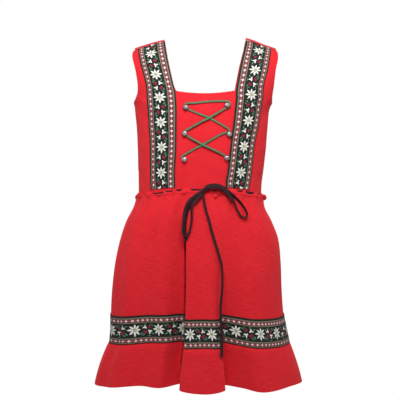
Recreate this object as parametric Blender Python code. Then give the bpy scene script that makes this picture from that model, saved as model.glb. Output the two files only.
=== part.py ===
"""A child's dirndl in its worn form: a hollow bodice with wide straps, edelweiss braid and a
laced front, over a gathered skirt with a braid band, a flounce and a drawstring bow.

Blender works in metres. Sizes below are in millimetres. +Z is up, the front faces -Y, and
the origin lies midway between the two shoulder seams."""

from math import pi, radians

import bmesh
import bpy
import numpy as np

MM = 0.001

# Cloth and clearances.
CLOTH_WALL = 2.0
FRILL_WALL = 1.4
BRAID_WALL = 1.0
RIBBON_WALL = 1.0
GAP = 0.3
SEAM_SIDE = GAP / 2

# The body's sections are ovals: this exponent makes them a little squarer than an ellipse.
OVAL = 2.3

# Bodice heights.
WAIST = -269.0
WAIST_DROP = 8.0
UNDERARM = -112.0
NECKLINE = -94.5
NECKLINE_SAG = 5.0
SAG_HEIGHT = 30.0
SAG_HALF_WIDTH = 50.0
BACK_NECKLINE = -88.0
BRAID_END = -259.0
BRAID_TOP_ROWS = 1

# Skirt heights.
BAND_TOP = -481.5
BAND_BOTTOM = -530.0
HEM = -602.0
GATHER_DEPTH = 1.8
GATHER_END = -345.0
FOLD_SPREAD = 1.25

# The rolled heading that stands on the waist seam, in front of the bodice.
FRILL_WAVES = 18
FRILL_POINTS_PER_WAVE = 6
FRILL_STAND_OFF = 1.6
FRILL_UNEVEN = 1.3
FRILL_SIDE_FLARE = 0.2
FRILL_SIDE_RISE = 0.15
DRAWSTRING_LEVELS = (-264.0, -259.6)

# Buttons and lacing.
BUTTON_RADIUS = 4.8
BUTTON_DOME = 3.2
SHANK_RADIUS = 1.7
DOME_CLEARANCE = 3.3
LACE_WIDTH = 4.0
LACE_WALL = 1.2
LACE_LOW = GAP
LACE_HIGH = GAP + LACE_WALL + GAP
LACE_STEPS = 12
LACE_CLEARANCE = 0.5
LACE_ARCH = 6.0
LACE_RISE_SHARES = (0.12, 0.3, 0.7, 0.88)
BUTTON_RIM = 0.6
BUTTON_SEGMENTS = 12
DOME_TILTS = (0, 25, 50, 75)

# The bow.
RIBBON_WIDTH = 6.5
RIBBON_STEPS = 3
PINCH = 0.5
PINCH_POINTS = 2.5
KNOT_RADIUS = 4.4
KNOT_HALF_DEPTH = 3.0
KNOT_TILTS = (-90, -55, -20, 20, 55, 90)
KNOT_SEGMENTS = 12

# Colours.
RED = (0.62, 0.02, 0.03)
BRAID_COLOUR = (0.03, 0.05, 0.03)
GREEN = (0.06, 0.25, 0.10)
SILVER = (0.55, 0.54, 0.52)
RIBBON_COLOUR = (0.04, 0.01, 0.012)


def table(columns, *rows):
    """Rows of numbers, as one array for each named column."""
    return dict(zip(columns.split(), np.array(rows, float).T))


# The garment seen in level rings, from the waist up. In the strap rows the ring is that of
# the shoulders under them, and its depth closes to nothing at the shoulder seam.
BODICE = table(
    "height centre half_width front_depth back_depth side_drop",
    (WAIST, -9.0, 107.0, 76, 78, WAIST_DROP),
    (-245, -8.4, 107.4, 76, 78, 6.5),
    (-222, -7.2, 109.6, 78, 80, 3.5),
    (-190, -5.6, 111.8, 80, 82, 1),
    (-155, -5.0, 114.2, 81, 84, 0),
    (-128, -5.0, 117.0, 81, 85, 0),
    (UNDERARM, -3.5, 120.9, 80, 85, 0),
    (-98, -1.5, 124.5, 78, 84, 1),
    (-80, -0.5, 129.0, 75, 82, 4),
    (-60, 0, 133.0, 69, 77, 8),
    (-40, 0, 136.0, 60, 67, 14),
    (-22, 0, 138.0, 48, 53, 20),
    (-9, 0, 138.0, 34, 37, 24.5),
    (0, 0, 138.0, 20, 21, 27),
    (5, 0, 138.0, 8, 8, 28),
    (6, 0, 138.0, 0, 0, 28),
)

# Lines on the bodice at each height: the edge is the armhole above the underarm, and the
# braid's inner side is the edge of the neck.
LINES = table(
    "height edge_left outer_left inner_left inner_right outer_right edge_right",
    (WAIST, -116.0, -92.3, -49.8, 34.0, 74.3, 98.0),
    (-245, -116.2, -93.9, -51.0, 35.2, 78.0, 99.8),
    (-229, -116.3, -94.2, -51.0, 38.0, 80.2, 101.0),
    (-196, -116.6, -94.7, -48.9, 41.6, 83.4, 103.6),
    (-180, -116.8, -94.9, -48.4, 43.5, 86.0, 104.8),
    (-145, -120.7, -96.7, -48.1, 48.0, 92.9, 111.3),
    (-128, -122.6, -97.2, -48.0, 49.7, 95.3, 114.4),
    (UNDERARM, -124.4, -98.2, -48.8, 51.4, 97.4, 117.4),
    (-109, -123.2, -98.6, -49.1, 51.7, 97.9, 116.6),
    (-105, -120.4, -99.2, -49.3, 51.9, 98.7, 116.2),
    (NECKLINE, -116.6, -100.0, -49.6, 52.0, 99.3, 116.8),
    (-80, -116.0, -102.2, -52.6, 53.9, 101.2, 118.8),
    (-60, -118.2, -106.4, -56.6, 57.2, 105.7, 120.6),
    (-40, -121.4, -110.9, -60.6, 60.8, 109.0, 122.9),
    (-22, -124.8, -113.8, -64.2, 64.2, 111.4, 126.0),
    (-9, -126.8, -115.2, -66.8, 66.8, 113.4, 127.2),
    (6, -119.2, -115.6, -69.0, 69.0, 115.0, 121.6),
)

LOW_ROWS = (WAIST, BRAID_END, -245, -225, -200, -175, -150, -128, UNDERARM, -109, -105)
FRONT_ROWS = LOW_ROWS + (NECKLINE, -87, -80, -69, -58, -46, -34, -22, -13, -5, 1, 5, 6)
BACK_ROWS = LOW_ROWS + (-96, BACK_NECKLINE, -69, -58, -46, -34, -22, -13, -5, 1, 5, 6)
BODICE_STEPS = (4, 3, 8, 3, 4)

# The heading's rise, its lean out of the seam, half its wave's depth and its ripple in height.
FRILL_PROFILE = table(
    "rise stand depth ripple",
    (0, 0, 0.0, 0.0),
    (4, 0.4, 1.4, 0.4),
    (7.5, 0.4, 2.2, 1.2),
)

# The skirt in level rings. Its folds come from the wave tables.
SKIRT = table(
    "height centre half_width front_depth back_depth side_drop",
    (WAIST - GAP, -9.0, 110.0, 79, 81, WAIST_DROP),
    (-277, -9.8, 112.2, 82, 85, 8),
    (-288, -10.6, 116.3, 84, 88, 9),
    (-310, -10.6, 127.0, 87, 93, 8),
    (-345, -10.0, 138.0, 89, 100, 5),
    (-390, -12.4, 144.5, 91, 107, 2),
    (-440, -14.2, 148.0, 92, 113, 0),
    (BAND_TOP, -13.6, 150.5, 93, 119, 0),
    (-506, -11.2, 152.8, 94, 122, 0),
    (BAND_BOTTOM, -9.8, 156.2, 96, 125, 0),
)
FLOUNCE = table(
    "height centre half_width front_depth back_depth side_drop",
    (BAND_BOTTOM - GAP, -9.8, 156.2, 96, 125, 0),
    (-538, -10.2, 160.5, 99, 128, 0),
    (-558, -11.0, 168.2, 101, 132, 0),
    (-580, -11.4, 175.2, 104, 137, 0),
    (HEM, -11.4, 180.8, 107, 141, 0),
)

# Crests and hollows, from the left side seam round to the right one. Angles are measured from
# the middle, push is outwards, and lean tips a crest over the hollow beside it.
FRONT_WAVES = table(
    "angle_top angle_hem push_top push_mid push_hem lean_hem lift_hem",
    (-90, -90, 0.0, 0, 0, 0, 4),
    (-77, -74, 1.0, 3, 5, 0, 3),
    (-64, -62, -1.2, -2, -5, 0, 3),
    (-51, -49, 1.0, 2, 3, 0, 5),
    (-38, -31, -1.5, -5, -9, 0, 9),
    (-24, -18, 0.8, -1, -3, 0, 10.5),
    (-12, -9.4, -1.0, -18, -31, 5, 11),
    (-6.5, -5.5, 1.2, 3, 12, -6, 3),
    (2, 2.5, 0.6, 6, 15, 0, 3),
    (11.5, 9.2, 1.2, 3, 12, 6, 3),
    (19, 13.1, -1.2, -9, -22, -4, 10),
    (32, 22, 0.8, 0, -8, 0, 6),
    (47, 34, -0.8, 5, 8, 0, 1),
    (68, 59, 1.0, 2, 2, 0, 0),
    (90, 90, 0.0, 0, 0, 0, 5),
)
BACK_WAVES = table(
    "angle_top angle_hem push_top push_mid push_hem lean_hem lift_hem",
    (-90, -90, 0.0, 0, 0, 0, 4),
    (-74, -72, 1.0, 3, 6, 0, 2),
    (-58, -60, -1.2, -4, -9, 0, 5),
    (-43, -44, 1.0, 4, 9, 0, 2),
    (-28, -24, -1.0, -7, -13, 2, 5),
    (-13, -10, 1.2, 5, 11, -2, 2),
    (3, 4, -1.2, -3, -7, 0, 4),
    (19, 20, 1.0, 5, 12, 2, 2),
    (35, 32, -1.0, -6, -12, -2, 5),
    (52, 50, 1.0, 4, 7, 0, 2),
    (72, 70, -0.8, -2, -4, 0, 4),
    (90, 90, 0.0, 0, 0, 0, 5),
)
POINTS_PER_WAVE = 4

# Buttons: a name, and a place across and up the front.
BUTTONS = (
    ("button_left_1", -32.0, -123.6),
    ("button_right_1", 36.3, -119.9),
    ("button_left_2", -34.0, -167.7),
    ("button_right_2", 39.9, -168.9),
    ("button_left_3", -34.5, -211.4),
    ("button_right_3", 35.9, -208.6),
)
# Lacing: the two buttons of each stretch, and its height off the cloth at both and between.
LACES = (
    ("lace_1", "button_left_3", "button_right_2", LACE_LOW, LACE_LOW, LACE_LOW),
    ("lace_2", "button_right_2", "button_left_1", LACE_HIGH, LACE_LOW, LACE_LOW),
    ("lace_3", "button_left_1", "button_right_1", LACE_HIGH, LACE_LOW, LACE_LOW),
    ("lace_4", "button_right_1", "button_left_2", LACE_HIGH, LACE_HIGH, LACE_LOW),
    ("lace_5", "button_left_2", "button_right_3", LACE_HIGH, LACE_HIGH, LACE_LOW),
)

# The bow's ribbons hang free: x, y and z of points along the middle of each.
KNOT = (-3.0, -85.4, -264.5)
LOOP_LEFT = (
    (-7.3, -85.4, -267.3), (-15.0, -87.6, -273.0), (-23.0, -89.6, -281.0),
    (-29.5, -91.2, -291.0), (-33.2, -92.4, -303.0), (-35.8, -93.4, -317.0),
    (-37.2, -94.2, -329.0), (-35.8, -94.8, -337.5), (-31.0, -95.0, -339.5),
    (-27.2, -94.4, -334.0), (-24.4, -93.2, -323.0), (-22.8, -92.4, -310.0),
    (-22.6, -91.6, -297.0), (-21.0, -91.8, -286.0), (-15.5, -90.2, -277.0),
    (-5.8, -87.8, -267.6),
)
LOOP_RIGHT = (
    (0.1, -85.4, -260.4), (4.0, -86.0, -257.6), (9.0, -86.0, -255.9),
    (16.5, -85.6, -255.2), (24.5, -84.0, -256.8), (32.0, -81.6, -261.0),
    (39.5, -79.4, -267.8), (47.5, -77.6, -275.0), (56.5, -76.6, -284.5),
    (64.0, -76.2, -293.5), (68.8, -75.8, -302.0), (68.6, -77.2, -308.8),
    (63.0, -79.2, -310.0), (57.2, -79.5, -303.0), (53.0, -79.3, -293.0),
    (48.8, -79.8, -283.0), (43.0, -81.0, -274.5), (35.5, -83.0, -266.5),
    (27.5, -85.4, -260.6), (17.0, -87.8, -257.8), (9.0, -88.4, -258.4),
    (3.6, -88.6, -260.0), (-0.9, -88.4, -261.9),
)
TAIL_LONG = (
    (-2.9, -85.9, -269.4), (-2.0, -87.2, -280.0), (1.2, -89.8, -296.0),
    (6.2, -91.6, -313.0), (10.8, -92.5, -331.0), (16.4, -93.3, -350.0),
    (22.0, -93.9, -368.0), (26.6, -94.1, -384.0), (28.6, -94.5, -400.0),
    (29.0, -95.3, -420.0), (27.6, -96.5, -440.0), (25.8, -98.1, -460.0),
    (26.2, -101.0, -482.0), (27.4, -104.1, -504.0), (27.8, -107.2, -524.0),
    (27.2, -111.5, -541.0),
)
TAIL_SHORT = (
    (-6.0, -83.6, -268.8), (-14.0, -85.4, -276.5), (-22.0, -87.6, -285.0),
    (-29.0, -89.4, -296.0), (-32.4, -90.4, -310.0), (-34.0, -91.2, -326.0),
    (-33.4, -92.3, -340.0), (-32.8, -93.1, -349.0),
)


def curve(values, place):
    """A smooth curve through values that stand at 0, 1, 2 and so on."""
    place = np.asarray(place, float)
    last = len(values) - 1
    start = np.clip(np.floor(place).astype(int), 0, last - 1)
    step = place - start
    before = values[np.maximum(start - 1, 0)]
    here = values[start]
    after = values[start + 1]
    beyond = values[np.minimum(start + 2, last)]
    if values.ndim > 1:
        step = step[..., None]
    straight = after - before
    second = 2 * before - 5 * here + 4 * after - beyond
    third = 3 * here - before - 3 * after + beyond
    return here + 0.5 * (straight * step + second * step**2 + third * step**3)


def row_at(sections, height):
    """Every column of a section table, read at a height."""
    heights = sections["height"]
    order = np.argsort(heights)
    place = np.interp(height, heights[order], np.arange(len(heights))[order])
    return {name: float(curve(values, place)) for name, values in sections.items()}


def ring(angles, section, side):
    """Points of a level oval, with angles from the middle of the front or back."""
    across = np.sign(np.sin(angles)) * np.abs(np.sin(angles)) ** (2 / OVAL)
    depth = section["front_depth"] if side < 0 else section["back_depth"]
    x = section["centre"] + section["half_width"] * across
    y = side * depth * np.abs(np.cos(angles)) ** (2 / OVAL)
    z = section["height"] - section["side_drop"] * across**2
    return np.stack([x, y, z], axis=-1)


def angle_at(x, section):
    """The angle of the oval's point that lies at x."""
    across = np.clip((np.asarray(x) - section["centre"]) / section["half_width"], -1, 1)
    return np.arcsin(np.sign(across) * np.abs(across) ** (OVAL / 2))


def normals_of(points, side, level_rows=()):
    """Outward normals of a grid of points. Those of level rows are kept level."""
    along = np.gradient(points, axis=1)
    up = np.gradient(points, axis=0)
    normals = np.cross(along, up) * -side
    for row in level_rows:
        normals[row, :, 2] = 0
    return normals / np.linalg.norm(normals, axis=-1, keepdims=True)


def build(name, vertices, faces, colour, roughness=0.9, metallic=0.0):
    """One named object of closed faces, with its own material."""
    mesh = bpy.data.meshes.new(name)
    mesh.from_pydata([tuple(point) for point in np.asarray(vertices) * MM], [], faces)
    work = bmesh.new()
    work.from_mesh(mesh)
    bmesh.ops.recalc_face_normals(work, faces=work.faces)
    work.to_mesh(mesh)
    work.free()
    mesh.shade_smooth()
    mesh.set_sharp_from_angle(angle=radians(50))
    material = bpy.data.materials.new(name)
    material.use_nodes = True
    shader = material.node_tree.nodes["Principled BSDF"]
    shader.inputs["Base Color"].default_value = (*colour, 1.0)
    shader.inputs["Roughness"].default_value = roughness
    shader.inputs["Metallic"].default_value = metallic
    mesh.materials.append(material)
    piece = bpy.data.objects.new(name, mesh)
    bpy.context.scene.collection.objects.link(piece)
    return piece


def wall(name, points, normals, side, outer, inner, colour, used=None):
    """A closed wall over a grid of points, between two distances from it along the normals.
    side keeps it on its own side of the seams; used marks the grid's filled cells."""
    rows, columns = points.shape[:2]
    if used is None:
        used = np.ones((rows - 1, columns - 1), bool)
    skins = [points + normals * outer, points + normals * inner]
    for skin in skins:
        skin[..., 1] = side * np.maximum(side * skin[..., 1], SEAM_SIDE)
    index = -np.ones((2, rows, columns), int)
    vertices = []
    for row in range(rows):
        for column in range(columns):
            if used[max(row - 1, 0):row + 1, max(column - 1, 0):column + 1].any():
                for skin in range(2):
                    index[skin, row, column] = len(vertices)
                    vertices.append(skins[skin][row, column])
    faces = []
    edges = {}
    for row, column in zip(*np.nonzero(used)):
        corners = ((row, column), (row, column + 1), (row + 1, column + 1), (row + 1, column))
        a, b, c, d = (index[0][corner] for corner in corners)
        faces += [(a, b, c), (a, c, d)]
        a, b, c, d = (index[1][corner] for corner in corners)
        faces += [(a, c, b), (a, d, c)]
        for one, other in zip(corners, corners[1:] + corners[:1]):
            if (other, one) in edges:
                del edges[other, one]
            else:
                edges[one, other] = True
    for one, other in edges:
        faces.append((index[0][other], index[0][one], index[1][one]))
        faces.append((index[0][other], index[1][one], index[1][other]))
    return build(name, vertices, faces, colour)


def bodice_grid(rows, side):
    """Points of the bodice, a row for each height and a column for each line and step."""
    grid = []
    for height in rows:
        section = row_at(BODICE, height)
        lines = row_at(LINES, height)
        keys = [lines[name] for name in list(LINES)[1:]]
        if height <= UNDERARM:
            keys[0] = section["centre"] - section["half_width"]
            keys[-1] = section["centre"] + section["half_width"]
        turns = angle_at(keys, section)
        parts = [
            np.linspace(start, end, steps, endpoint=False)
            for start, end, steps in zip(turns, turns[1:], BODICE_STEPS)
        ]
        points = ring(np.concatenate(parts + [turns[-1:]]), section, side)
        if side < 0:
            sag = NECKLINE_SAG * max(0.0, 1 - abs(height - NECKLINE) / SAG_HEIGHT)
            middle = np.clip(np.abs(points[:, 0] - section["centre"]) / SAG_HALF_WIDTH, 0, 1)
            points[:, 2] -= sag * (1 - middle**2) * (height <= NECKLINE)
        grid.append(points)
    return np.array(grid)


def bodice_cells(rows, neckline):
    """The cells of the bodice's grid that are cloth: all of them, but for the neck."""
    used = np.ones((len(rows) - 1, sum(BODICE_STEPS)), bool)
    open_columns = slice(sum(BODICE_STEPS[:2]), sum(BODICE_STEPS[:3]))
    used[rows.index(neckline):, open_columns] = False
    return used


def on_front(x, z):
    """The point of the front that lies at x and z, and its outward normal."""

    def point(x, z):
        height = z
        for _ in range(4):
            section = row_at(BODICE, height)
            here = ring(angle_at([x], section), section, -1)[0]
            height += z - here[2]
        return here

    step = 1.0
    across = point(x + step, z) - point(x - step, z)
    up = point(x, z + step) - point(x, z - step)
    normal = np.cross(across, up)
    return point(x, z), normal / np.linalg.norm(normal)


def cloth_grid(sections, waves, side):
    """Points of the skirt or flounce from its lowest ring up, folded by the waves."""
    last = len(waves["push_top"]) - 1
    places = np.linspace(0, last, last * POINTS_PER_WAVE + 1)
    wave = {name: curve(values, places) for name, values in waves.items()}
    grid = []
    for values in zip(*sections.values()):
        section = dict(zip(sections, values))
        fall = (WAIST - section["height"]) / (WAIST - HEM)
        spread = min(1.0, FOLD_SPREAD * fall)
        angles = wave["angle_top"] * (1 - spread) + wave["angle_hem"] * spread
        points = ring(np.radians(angles), section, side)
        upper = max(0.0, 1 - 2 * fall)
        lower = max(0.0, 2 * fall - 1)
        push = wave["push_top"] * upper + wave["push_hem"] * lower
        push += wave["push_mid"] * (1 - upper - lower)
        fade = max(0.0, (section["height"] - GATHER_END) / (WAIST - GATHER_END))
        push += GATHER_DEPTH * fade * np.sin(2 * pi * places)
        along, out = ring_directions(points, side)
        points = points + out * push[:, None] + along * (wave["lean_hem"] * fall**2)[:, None]
        points[:, 2] += wave["lift_hem"] * spread
        grid.append(points)
    return np.array(grid)[::-1]


def ring_directions(points, side):
    """Level directions along a ring and out of it."""
    along = np.gradient(points, axis=0)
    along[:, 2] = 0
    along /= np.linalg.norm(along, axis=1, keepdims=True)
    out = side * np.stack([-along[:, 1], along[:, 0], np.zeros(len(along))], axis=1)
    return along, out


def frill_grid(side):
    """Points of the heading: it leans out of the waist seam in uneven waves."""
    turn = np.linspace(0, 1, FRILL_WAVES * FRILL_POINTS_PER_WAVE + 1)
    base = ring(pi * (turn - 0.5), row_at(BODICE, WAIST), side)
    out = ring_directions(base, side)[1]
    wave = np.sin(2 * pi * FRILL_WAVES * turn + FRILL_UNEVEN * np.sin(4 * pi * turn))
    sides = 1 + FRILL_SIDE_FLARE * (2 * turn - 1) ** 2
    higher = 1 + FRILL_SIDE_RISE * (2 * turn - 1) ** 2
    grid = []
    for rise, stand, depth, ripple in zip(*FRILL_PROFILE.values()):
        clear = FRILL_STAND_OFF + FRILL_WALL + stand + depth * sides * (1 + wave)
        points = base + out * clear[:, None]
        points[:, 2] += rise * higher + ripple * wave
        grid.append(points)
    return np.array(grid)


def strip(name, centres, facing, widths, thickness, colour):
    """A flat ribbon along points, broad side towards facing, closed at both ends."""
    centres = np.asarray(centres, float)
    along = np.gradient(centres, axis=0)
    across = np.cross(along, facing)
    across /= np.linalg.norm(across, axis=1, keepdims=True)
    out = np.cross(across, along)
    out /= np.linalg.norm(out, axis=1, keepdims=True)
    half = np.asarray(widths)[:, None] / 2
    vertices = []
    for one, other in ((1, 1), (-1, 1), (-1, -1), (1, -1)):
        vertices.append(centres + across * half * one + out * thickness / 2 * other)
    vertices = np.stack(vertices, axis=1).reshape(-1, 3)
    faces = [(0, 1, 2), (0, 2, 3)]
    last = len(vertices) - 4
    faces += [(last, last + 2, last + 1), (last, last + 3, last + 2)]
    for start in range(0, last, 4):
        for corner in range(4):
            a, b = start + corner, start + (corner + 1) % 4
            faces += [(a, a + 4, b + 4), (a, b + 4, b)]
    return build(name, vertices, faces, colour)


def ribbon(name, route):
    """A free ribbon through hand-set points, pinched where it leaves the knot."""
    route = np.array(route)
    places = np.linspace(0, len(route) - 1, (len(route) - 1) * RIBBON_STEPS + 1)
    centres = curve(route, places)
    ends = np.minimum(places, len(route) - 1 - places) if name.startswith("bow") else places
    widths = RIBBON_WIDTH * np.clip(PINCH + (1 - PINCH) * ends / PINCH_POINTS, PINCH, 1)
    return strip(name, centres, (0, -1, 0), widths, RIBBON_WALL, RIBBON_COLOUR)


def turned(name, profile, base, axis, segments, colour, roughness, metallic):
    """A solid turned from a profile of radius and height, standing on a base along an axis."""
    axis = np.asarray(axis) / np.linalg.norm(axis)
    side = np.cross(axis, (0, 0, 1))
    side /= np.linalg.norm(side)
    up = np.cross(side, axis)
    vertices = [base + axis * profile[0][1]]
    for radius, height in profile[1:-1]:
        for turn in np.linspace(0, 2 * pi, segments, endpoint=False):
            spoke = side * np.cos(turn) + up * np.sin(turn)
            vertices.append(base + spoke * radius + axis * height)
    vertices.append(base + axis * profile[-1][1])
    faces = []
    for spoke in range(segments):
        after = (spoke + 1) % segments
        faces.append((0, 1 + after, 1 + spoke))
        for ring_start in range(1, len(vertices) - 1 - segments, segments):
            a, b = ring_start + spoke, ring_start + after
            faces += [(a, b, b + segments), (a, b + segments, a + segments)]
        last = len(vertices) - 1 - segments
        faces.append((len(vertices) - 1, last + spoke, last + after))
    return build(name, vertices, faces, colour, roughness, metallic)


def make_bodice():
    """Front and back panels, and the braid that lies on the front."""
    for name, rows, side, neckline in (
        ("bodice_front", FRONT_ROWS, -1, NECKLINE),
        ("bodice_back", BACK_ROWS, 1, BACK_NECKLINE),
    ):
        points = bodice_grid(rows, side)
        normals = normals_of(points, side, level_rows=(0,))
        used = bodice_cells(rows, neckline)
        wall(name, points, normals, side, 0, -CLOTH_WALL, RED, used)
    points = bodice_grid(FRONT_ROWS, -1)
    normals = normals_of(points, -1, level_rows=(0,))
    first = FRONT_ROWS.index(BRAID_END)
    rows = slice(first, len(FRONT_ROWS) - BRAID_TOP_ROWS)
    left = BODICE_STEPS[0]
    right = sum(BODICE_STEPS[:3])
    for name, start in (("trim_left", left), ("trim_right", right)):
        columns = slice(start, start + BODICE_STEPS[1] + 1)
        strip_points, strip_normals = points[rows, columns], normals[rows, columns]
        wall(name, strip_points, strip_normals, -1, GAP + BRAID_WALL, GAP, BRAID_COLOUR)


def make_waist():
    """The heading, and the drawstring that runs between it and the bodice."""
    for half, side in (("front", -1), ("back", 1)):
        points = frill_grid(side)
        normals = normals_of(points, side, (0,))
        wall("waist_frill_" + half, points, normals, side, 0, -FRILL_WALL, RED)
        points = bodice_grid(DRAWSTRING_LEVELS, side)
        normals = normals_of(points, side, (0, 1))
        wall("drawstring_" + half, points, normals, side, GAP + RIBBON_WALL, GAP, RIBBON_COLOUR)


def make_skirt():
    """The gathered skirt, the braid band along its lower edge, and the flounce under it."""
    for half, side, waves in (("front", -1, FRONT_WAVES), ("back", 1, BACK_WAVES)):
        points = cloth_grid(SKIRT, waves, side)
        level = range(len(points))
        normals = normals_of(points, side, level)
        wall("skirt_" + half, points, normals, side, 0, -CLOTH_WALL, RED)
        rows = slice(0, list(SKIRT["height"][::-1]).index(BAND_TOP) + 1)
        wall("band_" + half, points[rows], normals[rows], side, GAP + BRAID_WALL, GAP, BRAID_COLOUR)
        points = cloth_grid(FLOUNCE, waves, side)
        normals = normals_of(points, side, range(len(points)))
        wall("flounce_" + half, points, normals, side, 0, -CLOTH_WALL, RED)


def make_fastening():
    """Domed buttons on short shanks, and the lace that crosses between them."""
    places = {name: on_front(x, z) for name, x, z in BUTTONS}
    dome_base = GAP + DOME_CLEARANCE
    dome = [
        (BUTTON_RADIUS * np.cos(tilt), dome_base + BUTTON_RIM + BUTTON_DOME * np.sin(tilt))
        for tilt in np.radians(DOME_TILTS)
    ]
    profile = [
        (0, GAP),
        (SHANK_RADIUS, GAP),
        (SHANK_RADIUS, dome_base),
        (BUTTON_RADIUS, dome_base),
        *dome,
        (0, dome_base + BUTTON_RIM + BUTTON_DOME),
    ]
    for name, (point, normal) in places.items():
        turned(name, profile, point, normal, BUTTON_SEGMENTS, SILVER, 0.35, 1.0)
    for name, first, second, start, middle, end in LACES:
        start_x, end_x = places[first][0][0], places[second][0][0]
        start_z, end_z = places[first][0][2], places[second][0][2]
        length = np.hypot(end_x - start_x, end_z - start_z)
        clear = (SHANK_RADIUS + LACE_CLEARANCE) / length
        centres, facing = [], []
        for along in np.linspace(clear, 1 - clear, LACE_STEPS + 1):
            arch = LACE_ARCH * np.sin(pi * along) * (name == "lace_3")
            x = start_x + (end_x - start_x) * along
            z = start_z + (end_z - start_z) * along + arch
            point, normal = on_front(x, z)
            rise = np.interp(along, LACE_RISE_SHARES, (start, middle, middle, end))
            centres.append(point + normal * (rise + LACE_WALL / 2))
            facing.append(normal)
        strip(name, centres, facing, [LACE_WIDTH] * len(centres), LACE_WALL, GREEN)


def make_bow():
    """The knot in front of the waist, its two loops and its two hanging ends."""
    knot = [
        (KNOT_RADIUS * np.cos(tilt), KNOT_HALF_DEPTH * np.sin(tilt))
        for tilt in np.radians(KNOT_TILTS)
    ]
    forward = (0, -1, 0)
    turned("bow_knot", knot, np.array(KNOT), forward, KNOT_SEGMENTS, RIBBON_COLOUR, 0.9, 0.0)
    ribbon("bow_loop_left", LOOP_LEFT)
    ribbon("bow_loop_right", LOOP_RIGHT)
    ribbon("ribbon_tail_long", TAIL_LONG)
    ribbon("ribbon_tail_short", TAIL_SHORT)


for old in list(bpy.data.objects):
    bpy.data.objects.remove(old, do_unlink=True)
make_bodice()
make_waist()
make_skirt()
make_fastening()
make_bow()
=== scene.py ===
# A child's red dirndl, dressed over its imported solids: crepe cloth, woven edelweiss braid,
# silver buttons with green lacing, and a dark drawstring tied in a bow.
# Shapes are worked out in millimetres in the garment's own frame: +Z up, the front faces -Y.

import math
from functools import partial

import bmesh
import bpy
import numpy as np
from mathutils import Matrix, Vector


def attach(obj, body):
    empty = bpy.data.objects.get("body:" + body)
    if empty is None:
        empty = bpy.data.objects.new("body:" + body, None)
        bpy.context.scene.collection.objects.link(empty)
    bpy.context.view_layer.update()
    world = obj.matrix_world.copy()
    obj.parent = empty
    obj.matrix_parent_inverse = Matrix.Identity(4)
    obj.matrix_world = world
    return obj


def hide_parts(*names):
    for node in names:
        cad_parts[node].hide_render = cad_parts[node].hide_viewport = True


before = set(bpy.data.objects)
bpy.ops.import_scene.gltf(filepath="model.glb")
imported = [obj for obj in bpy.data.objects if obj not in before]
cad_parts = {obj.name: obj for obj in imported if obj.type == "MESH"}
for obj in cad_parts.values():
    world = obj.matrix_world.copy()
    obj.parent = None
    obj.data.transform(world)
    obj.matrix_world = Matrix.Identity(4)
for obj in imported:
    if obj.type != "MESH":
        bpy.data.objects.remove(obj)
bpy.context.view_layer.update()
print("frame loaded")

mm = 0.001
weld = 0.08  # points closer than this, in millimetres, are one point


# Helpers for numbers

def table(columns, *rows):
    return dict(zip(columns.split(), np.array(rows, float).T))


def linear(hexColour):
    channels = [int(hexColour[place:place + 2], 16) / 255 for place in (1, 3, 5)]
    return tuple(c / 12.92 if c <= 0.04045 else ((c + 0.055) / 1.055) ** 2.4 for c in channels) + (1.0,)


# A smooth curve through values that stand at 0, 1, 2 and so on.
def curve(values, place):
    place = np.asarray(place, float)
    last = len(values) - 1
    start = np.clip(np.floor(place).astype(int), 0, last - 1)
    step = place - start
    before = values[np.maximum(start - 1, 0)]
    here = values[start]
    after = values[start + 1]
    beyond = values[np.minimum(start + 2, last)]
    if values.ndim > 1:
        step = step[..., None]
    second = 2 * before - 5 * here + 4 * after - beyond
    third = 3 * here - before - 3 * after + beyond
    return here + 0.5 * ((after - before) * step + second * step**2 + third * step**3)


def smooth(value):
    value = np.clip(value, 0, 1)
    return value * value * (3 - 2 * value)


def lengthsAlong(points):
    steps = np.linalg.norm(np.diff(points, axis=0), axis=1)
    return np.concatenate([[0], np.cumsum(steps)])


# Helpers for nodes and meshes

def addNode(tree, kind, inputs=None, **settings):
    node = tree.nodes.new(kind)
    for name, value in settings.items():
        setattr(node, name, value)
    for name, value in (inputs or {}).items():
        if isinstance(value, bpy.types.NodeSocket):
            tree.links.new(value, node.inputs[name])
        else:
            node.inputs[name].default_value = value
    return node


def outOf(tree, kind, inputs=None, **settings):
    return addNode(tree, kind, inputs, **settings).outputs[0]


def calc(tree, operation, *values):
    return outOf(tree, "ShaderNodeMath", dict(enumerate(values)), operation=operation)


def mix(tree, factor, first, second):
    return addNode(tree, "ShaderNodeMix", {0: factor, 6: first, 7: second}, data_type="RGBA").outputs[2]


# Short names for the sums that a tree uses most: add, times, take, below and above.
def sums(tree):
    names = ("ADD", "MULTIPLY", "SUBTRACT", "LESS_THAN", "GREATER_THAN")
    return [partial(calc, tree, name) for name in names]


# Brings a value from one range to another.
def remap(tree, value, low, high, start=0.0, end=1.0):
    return outOf(tree, "ShaderNodeMapRange", {0: value, 1: low, 2: high, 3: start, 4: end})


def noise(tree, place, scale, detail):
    return outOf(tree, "ShaderNodeTexNoise", {"Vector": place, "Scale": scale, "Detail": detail})


def attribute(tree, name):
    return addNode(tree, "ShaderNodeAttribute", attribute_name=name).outputs["Fac"]


def patternPlace(tree):
    return outOf(tree, "ShaderNodeUVMap", uv_map="pattern")


def objectPlace(tree):
    return addNode(tree, "ShaderNodeTexCoord").outputs["Object"]


def newMaterial(name, roughness, metallic=0.0, sheen=0.0, specular=0.5, fuzz="#FFFFFF"):
    material = bpy.data.materials.new(name)
    material.use_nodes = True
    shader = material.node_tree.nodes["Principled BSDF"]
    values = {
        "Roughness": roughness, "Metallic": metallic, "Specular IOR Level": specular,
        "Sheen Weight": sheen, "Sheen Roughness": 0.5, "Sheen Tint": linear(fuzz),
    }
    for label, value in values.items():
        shader.inputs[label].default_value = value
    return material, material.node_tree, shader


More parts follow.
